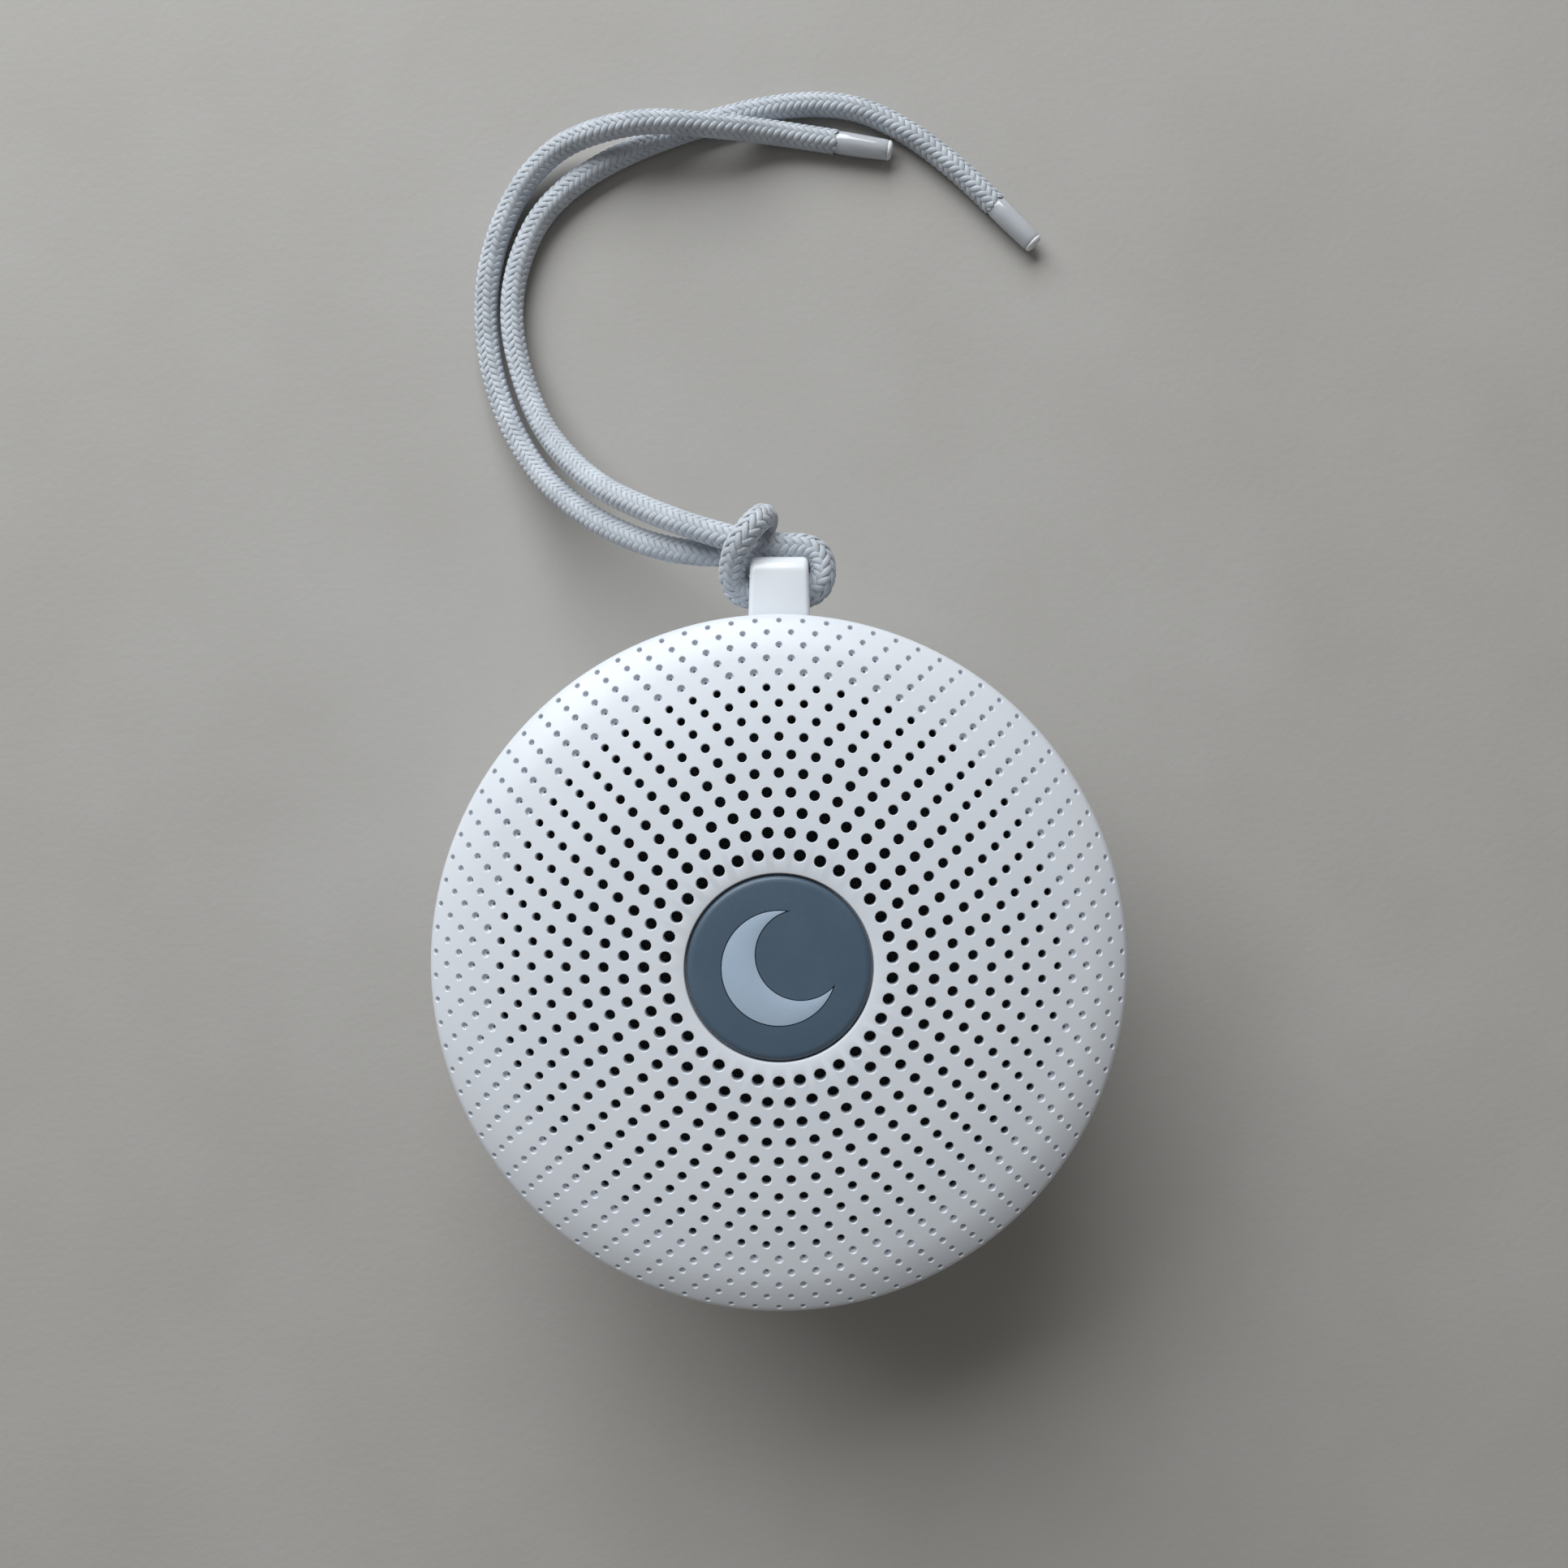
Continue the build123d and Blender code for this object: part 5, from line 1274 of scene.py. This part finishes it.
def braid(name, points, lengths, squeeze=1.0):
    """Mesh of the braid's strands: each goes round the line, over two strands that cross it and under two."""
    tangents, across, up = frames_along(points, (1, 0, 0))
    turns = lengths / (LAY * MM)
    corners = np.linspace(0, 2 * math.pi, SECTION_POINTS, endpoint=False)
    vertices, faces, places = [], [], []
    count = len(points)
    for way in (1, -1):
        for strand in range(STRANDS_EACH_WAY):
            crossing = turns * 2 * STRANDS_EACH_WAY * way + 2 * strand
            wave = way * np.cos(2 * math.pi * (crossing - 0.5) / 4)
            radius = (STRAND_MEAN_RADIUS + STRAND_WAVE * wave) * squeeze * MM
            angle = 2 * math.pi * (strand / STRANDS_EACH_WAY + way * turns)
            out = np.cos(angle)[:, None] * across + np.sin(angle)[:, None] * up
            around = -np.sin(angle)[:, None] * across + np.cos(angle)[:, None] * up
            heading = tangents + way * (2 * math.pi * radius / (LAY * MM))[:, None] * around
            heading /= np.linalg.norm(heading, axis=1)[:, None]
            wide = np.cross(out, heading)
            centre = points + radius[:, None] * out
            first = len(vertices)
            for corner in corners:
                shift_w = STRAND_HALF_WIDTH * squeeze * MM * math.cos(corner)
                shift_o = STRAND_HALF_THICKNESS * squeeze * MM * math.sin(corner)
                vertices.extend(centre + shift_w * wide + shift_o * out)
            for corner in range(SECTION_POINTS):
                beside = (corner + 1) % SECTION_POINTS
                low, high = first + corner * count, first + beside * count
                v0, v1 = corner / SECTION_POINTS, (corner + 1) / SECTION_POINTS
                for k in range(count - 1):
                    faces.append((low + k, high + k, high + k + 1, low + k + 1))
                    u0, u1 = lengths[k] / MM, lengths[k + 1] / MM
                    places.extend((u0, v0, u0, v1, u1, v1, u1, v0))
    mesh = bpy.data.meshes.new(name)
    mesh.from_pydata([tuple(v) for v in vertices], [], faces)
    mesh.uv_layers.new(name="strand").data.foreach_set("uv", places)
    mesh.polygons.foreach_set("use_smooth", [True] * len(faces))
    cord = new_object(name, mesh)
    pick(cord)
    bpy.ops.object.mode_set(mode="EDIT")
    bpy.ops.mesh.select_all(action="SELECT")
    bpy.ops.mesh.normals_make_consistent(inside=False)
    bpy.ops.object.mode_set(mode="OBJECT")
    return cord


def strand_material():
    """Flat strands of fine filaments, mottled a little along the cord."""
    material, tree = new_material("braided polyester")
    strand = add_node(tree, "UVMap")
    strand.uv_map = "strand"
    stretched = add_node(tree, "Mapping", Vector=strand.outputs["UV"], Scale=(0.55, 26.0, 1.0))
    fine = noise(tree, stretched.outputs["Vector"], 1.6, Detail=3.0)
    both = compute(tree, "ADD", fine, noise(tree, own_place(tree), 260.0))
    tone = compute(tree, "MULTIPLY_ADD", both, 0.8, -0.25)
    colour = mix_colours(tree, tone, (0.270, 0.299, 0.337), (0.650, 0.700, 0.766))
    sheen = {"Sheen Weight": 0.25, "Sheen Roughness": 0.4}
    return dress(material, colour, 0.62, fine, 0.08, 0.35, **sheen)


polyester = strand_material()
cord_ends = {}
for node, route in (("lanyard_long", LONG_TAIL), ("lanyard_short", SHORT_TAIL)):
    line, stations = evenly(centre_line(route), BRAID_STEP * MM)
    cord = braid(node + "_braid", line, stations)
    cord.data.materials.append(polyester)
    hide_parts(node)
    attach(cord, "housing")
    cord_ends[node] = (cord, line, stations)

# ---- Cord tips ----
# A clear sleeve is shrunk over each end of the cord to keep it from fraying. The braid shows through it,
# drawn in a little, and the cut end is melted to a small pale bead.
TIP_LENGTH = 8.6
TIP_RADIUS = 1.62
TIP_DRAWN_IN = 0.80


def sleeve_material():
    material, tree = new_material("clear shrink sleeve")
    clear = {"Coat Weight": 1.0, "Coat Roughness": 0.1, "IOR": 1.46, "Transmission Weight": 0.5}
    return dress(material, (0.84, 0.88, 0.93), 0.2, noise(tree, own_place(tree), 900.0), 0.03, 0.2, **clear)


def melted_material():
    material, tree = new_material("melted polyester")
    mottle = noise(tree, own_place(tree), 2500.0)
    return dress(material, mix_colours(tree, mottle, (0.60, 0.62, 0.64), (0.84, 0.86, 0.88)), 0.35)


shrink_sleeve = sleeve_material()
melted = melted_material()
for node, tip in (("lanyard_long", "aglet_long"), ("lanyard_short", "aglet_short")):
    cord, line, stations = cord_ends[node]
    heading = Vector(line[-1] - line[-3]).normalized()
    start = Vector(line[-1])
    profile = [(0.0, 0.0), (1.45, 0.0), (TIP_RADIUS, 0.5), (TIP_RADIUS, 2.5), (1.54, 5.5), (1.48, 7.5)]
    profile += [(1.42, 7.7), (1.3, 7.75), (0.0, 7.75)]
    sleeve = lathe(tip + "_sleeve", profile, 32, start, heading)
    sleeve.data.materials.append(shrink_sleeve)
    round_off(sleeve, 50)
    steps = np.arange(0, TIP_LENGTH - 1.1, BRAID_STEP) * MM
    inside = np.array([start + heading * float(step) for step in steps])
    core = braid(tip + "_braid", inside, steps + stations[-1], TIP_DRAWN_IN)
    core.data.materials.append(polyester)
    bead_start = start + heading * (TIP_LENGTH - 0.95) * MM
    bead_profile = [(0.0, 0.0), (1.15, 0.0), (1.4, 0.2), (1.38, 0.5), (1.1, 0.78), (0.5, 0.9), (0.0, 0.92)]
    bead = lathe(tip + "_bead", bead_profile, 20, bead_start, heading)
    bead.data.materials.append(melted)
    round_off(bead, 60)
    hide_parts(tip)
    for piece in (sleeve, core, bead):
        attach(piece, "housing")

# ---- Table and light ----
# A plain pale table top with a faint mottle. Daylight comes from one large soft source beyond the lug, and
# the room fills the other side.
table = primitive("table", bpy.ops.mesh.primitive_plane_add, size=4.0)
stone, tree = new_material("table top")
place = own_place(tree)
mottle = noise(tree, place, 34.0, Detail=6.0)
stone_colour = mix_colours(tree, mottle, (0.365, 0.352, 0.334), (0.440, 0.430, 0.415))
dress(stone, stone_colour, 0.7, noise(tree, place, 900.0), 0.3, 0.12)
table.data.materials.append(stone)
table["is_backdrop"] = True

room = bpy.data.worlds.new("room")
room.use_nodes = True
background = room.node_tree.nodes["Background"].inputs
background["Color"].default_value = (1.0, 0.97, 0.93, 1)
background["Strength"].default_value = 0.18
bpy.context.scene.world = room


def soft_light(name, size, place, aim, watts, colour):
    lamp = bpy.data.lights.new(name, "AREA")
    lamp.shape = "RECTANGLE"
    lamp.size, lamp.size_y = size
    lamp.energy = watts
    lamp.color = colour
    holder = new_object(name, lamp)
    holder.location = place
    holder.rotation_euler = (Vector(aim) - Vector(place)).to_track_quat("-Z", "Y").to_euler()


soft_light("window", (1.1, 0.8), (-0.36, 0.80, 0.64), (0, 0.02, 0.02), 16.0, (0.96, 0.985, 1.0))

size = {"cad": [list(map(float, corner)) for corner in cad_box]}
size["visual"] = [list(map(float, corner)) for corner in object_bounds()]
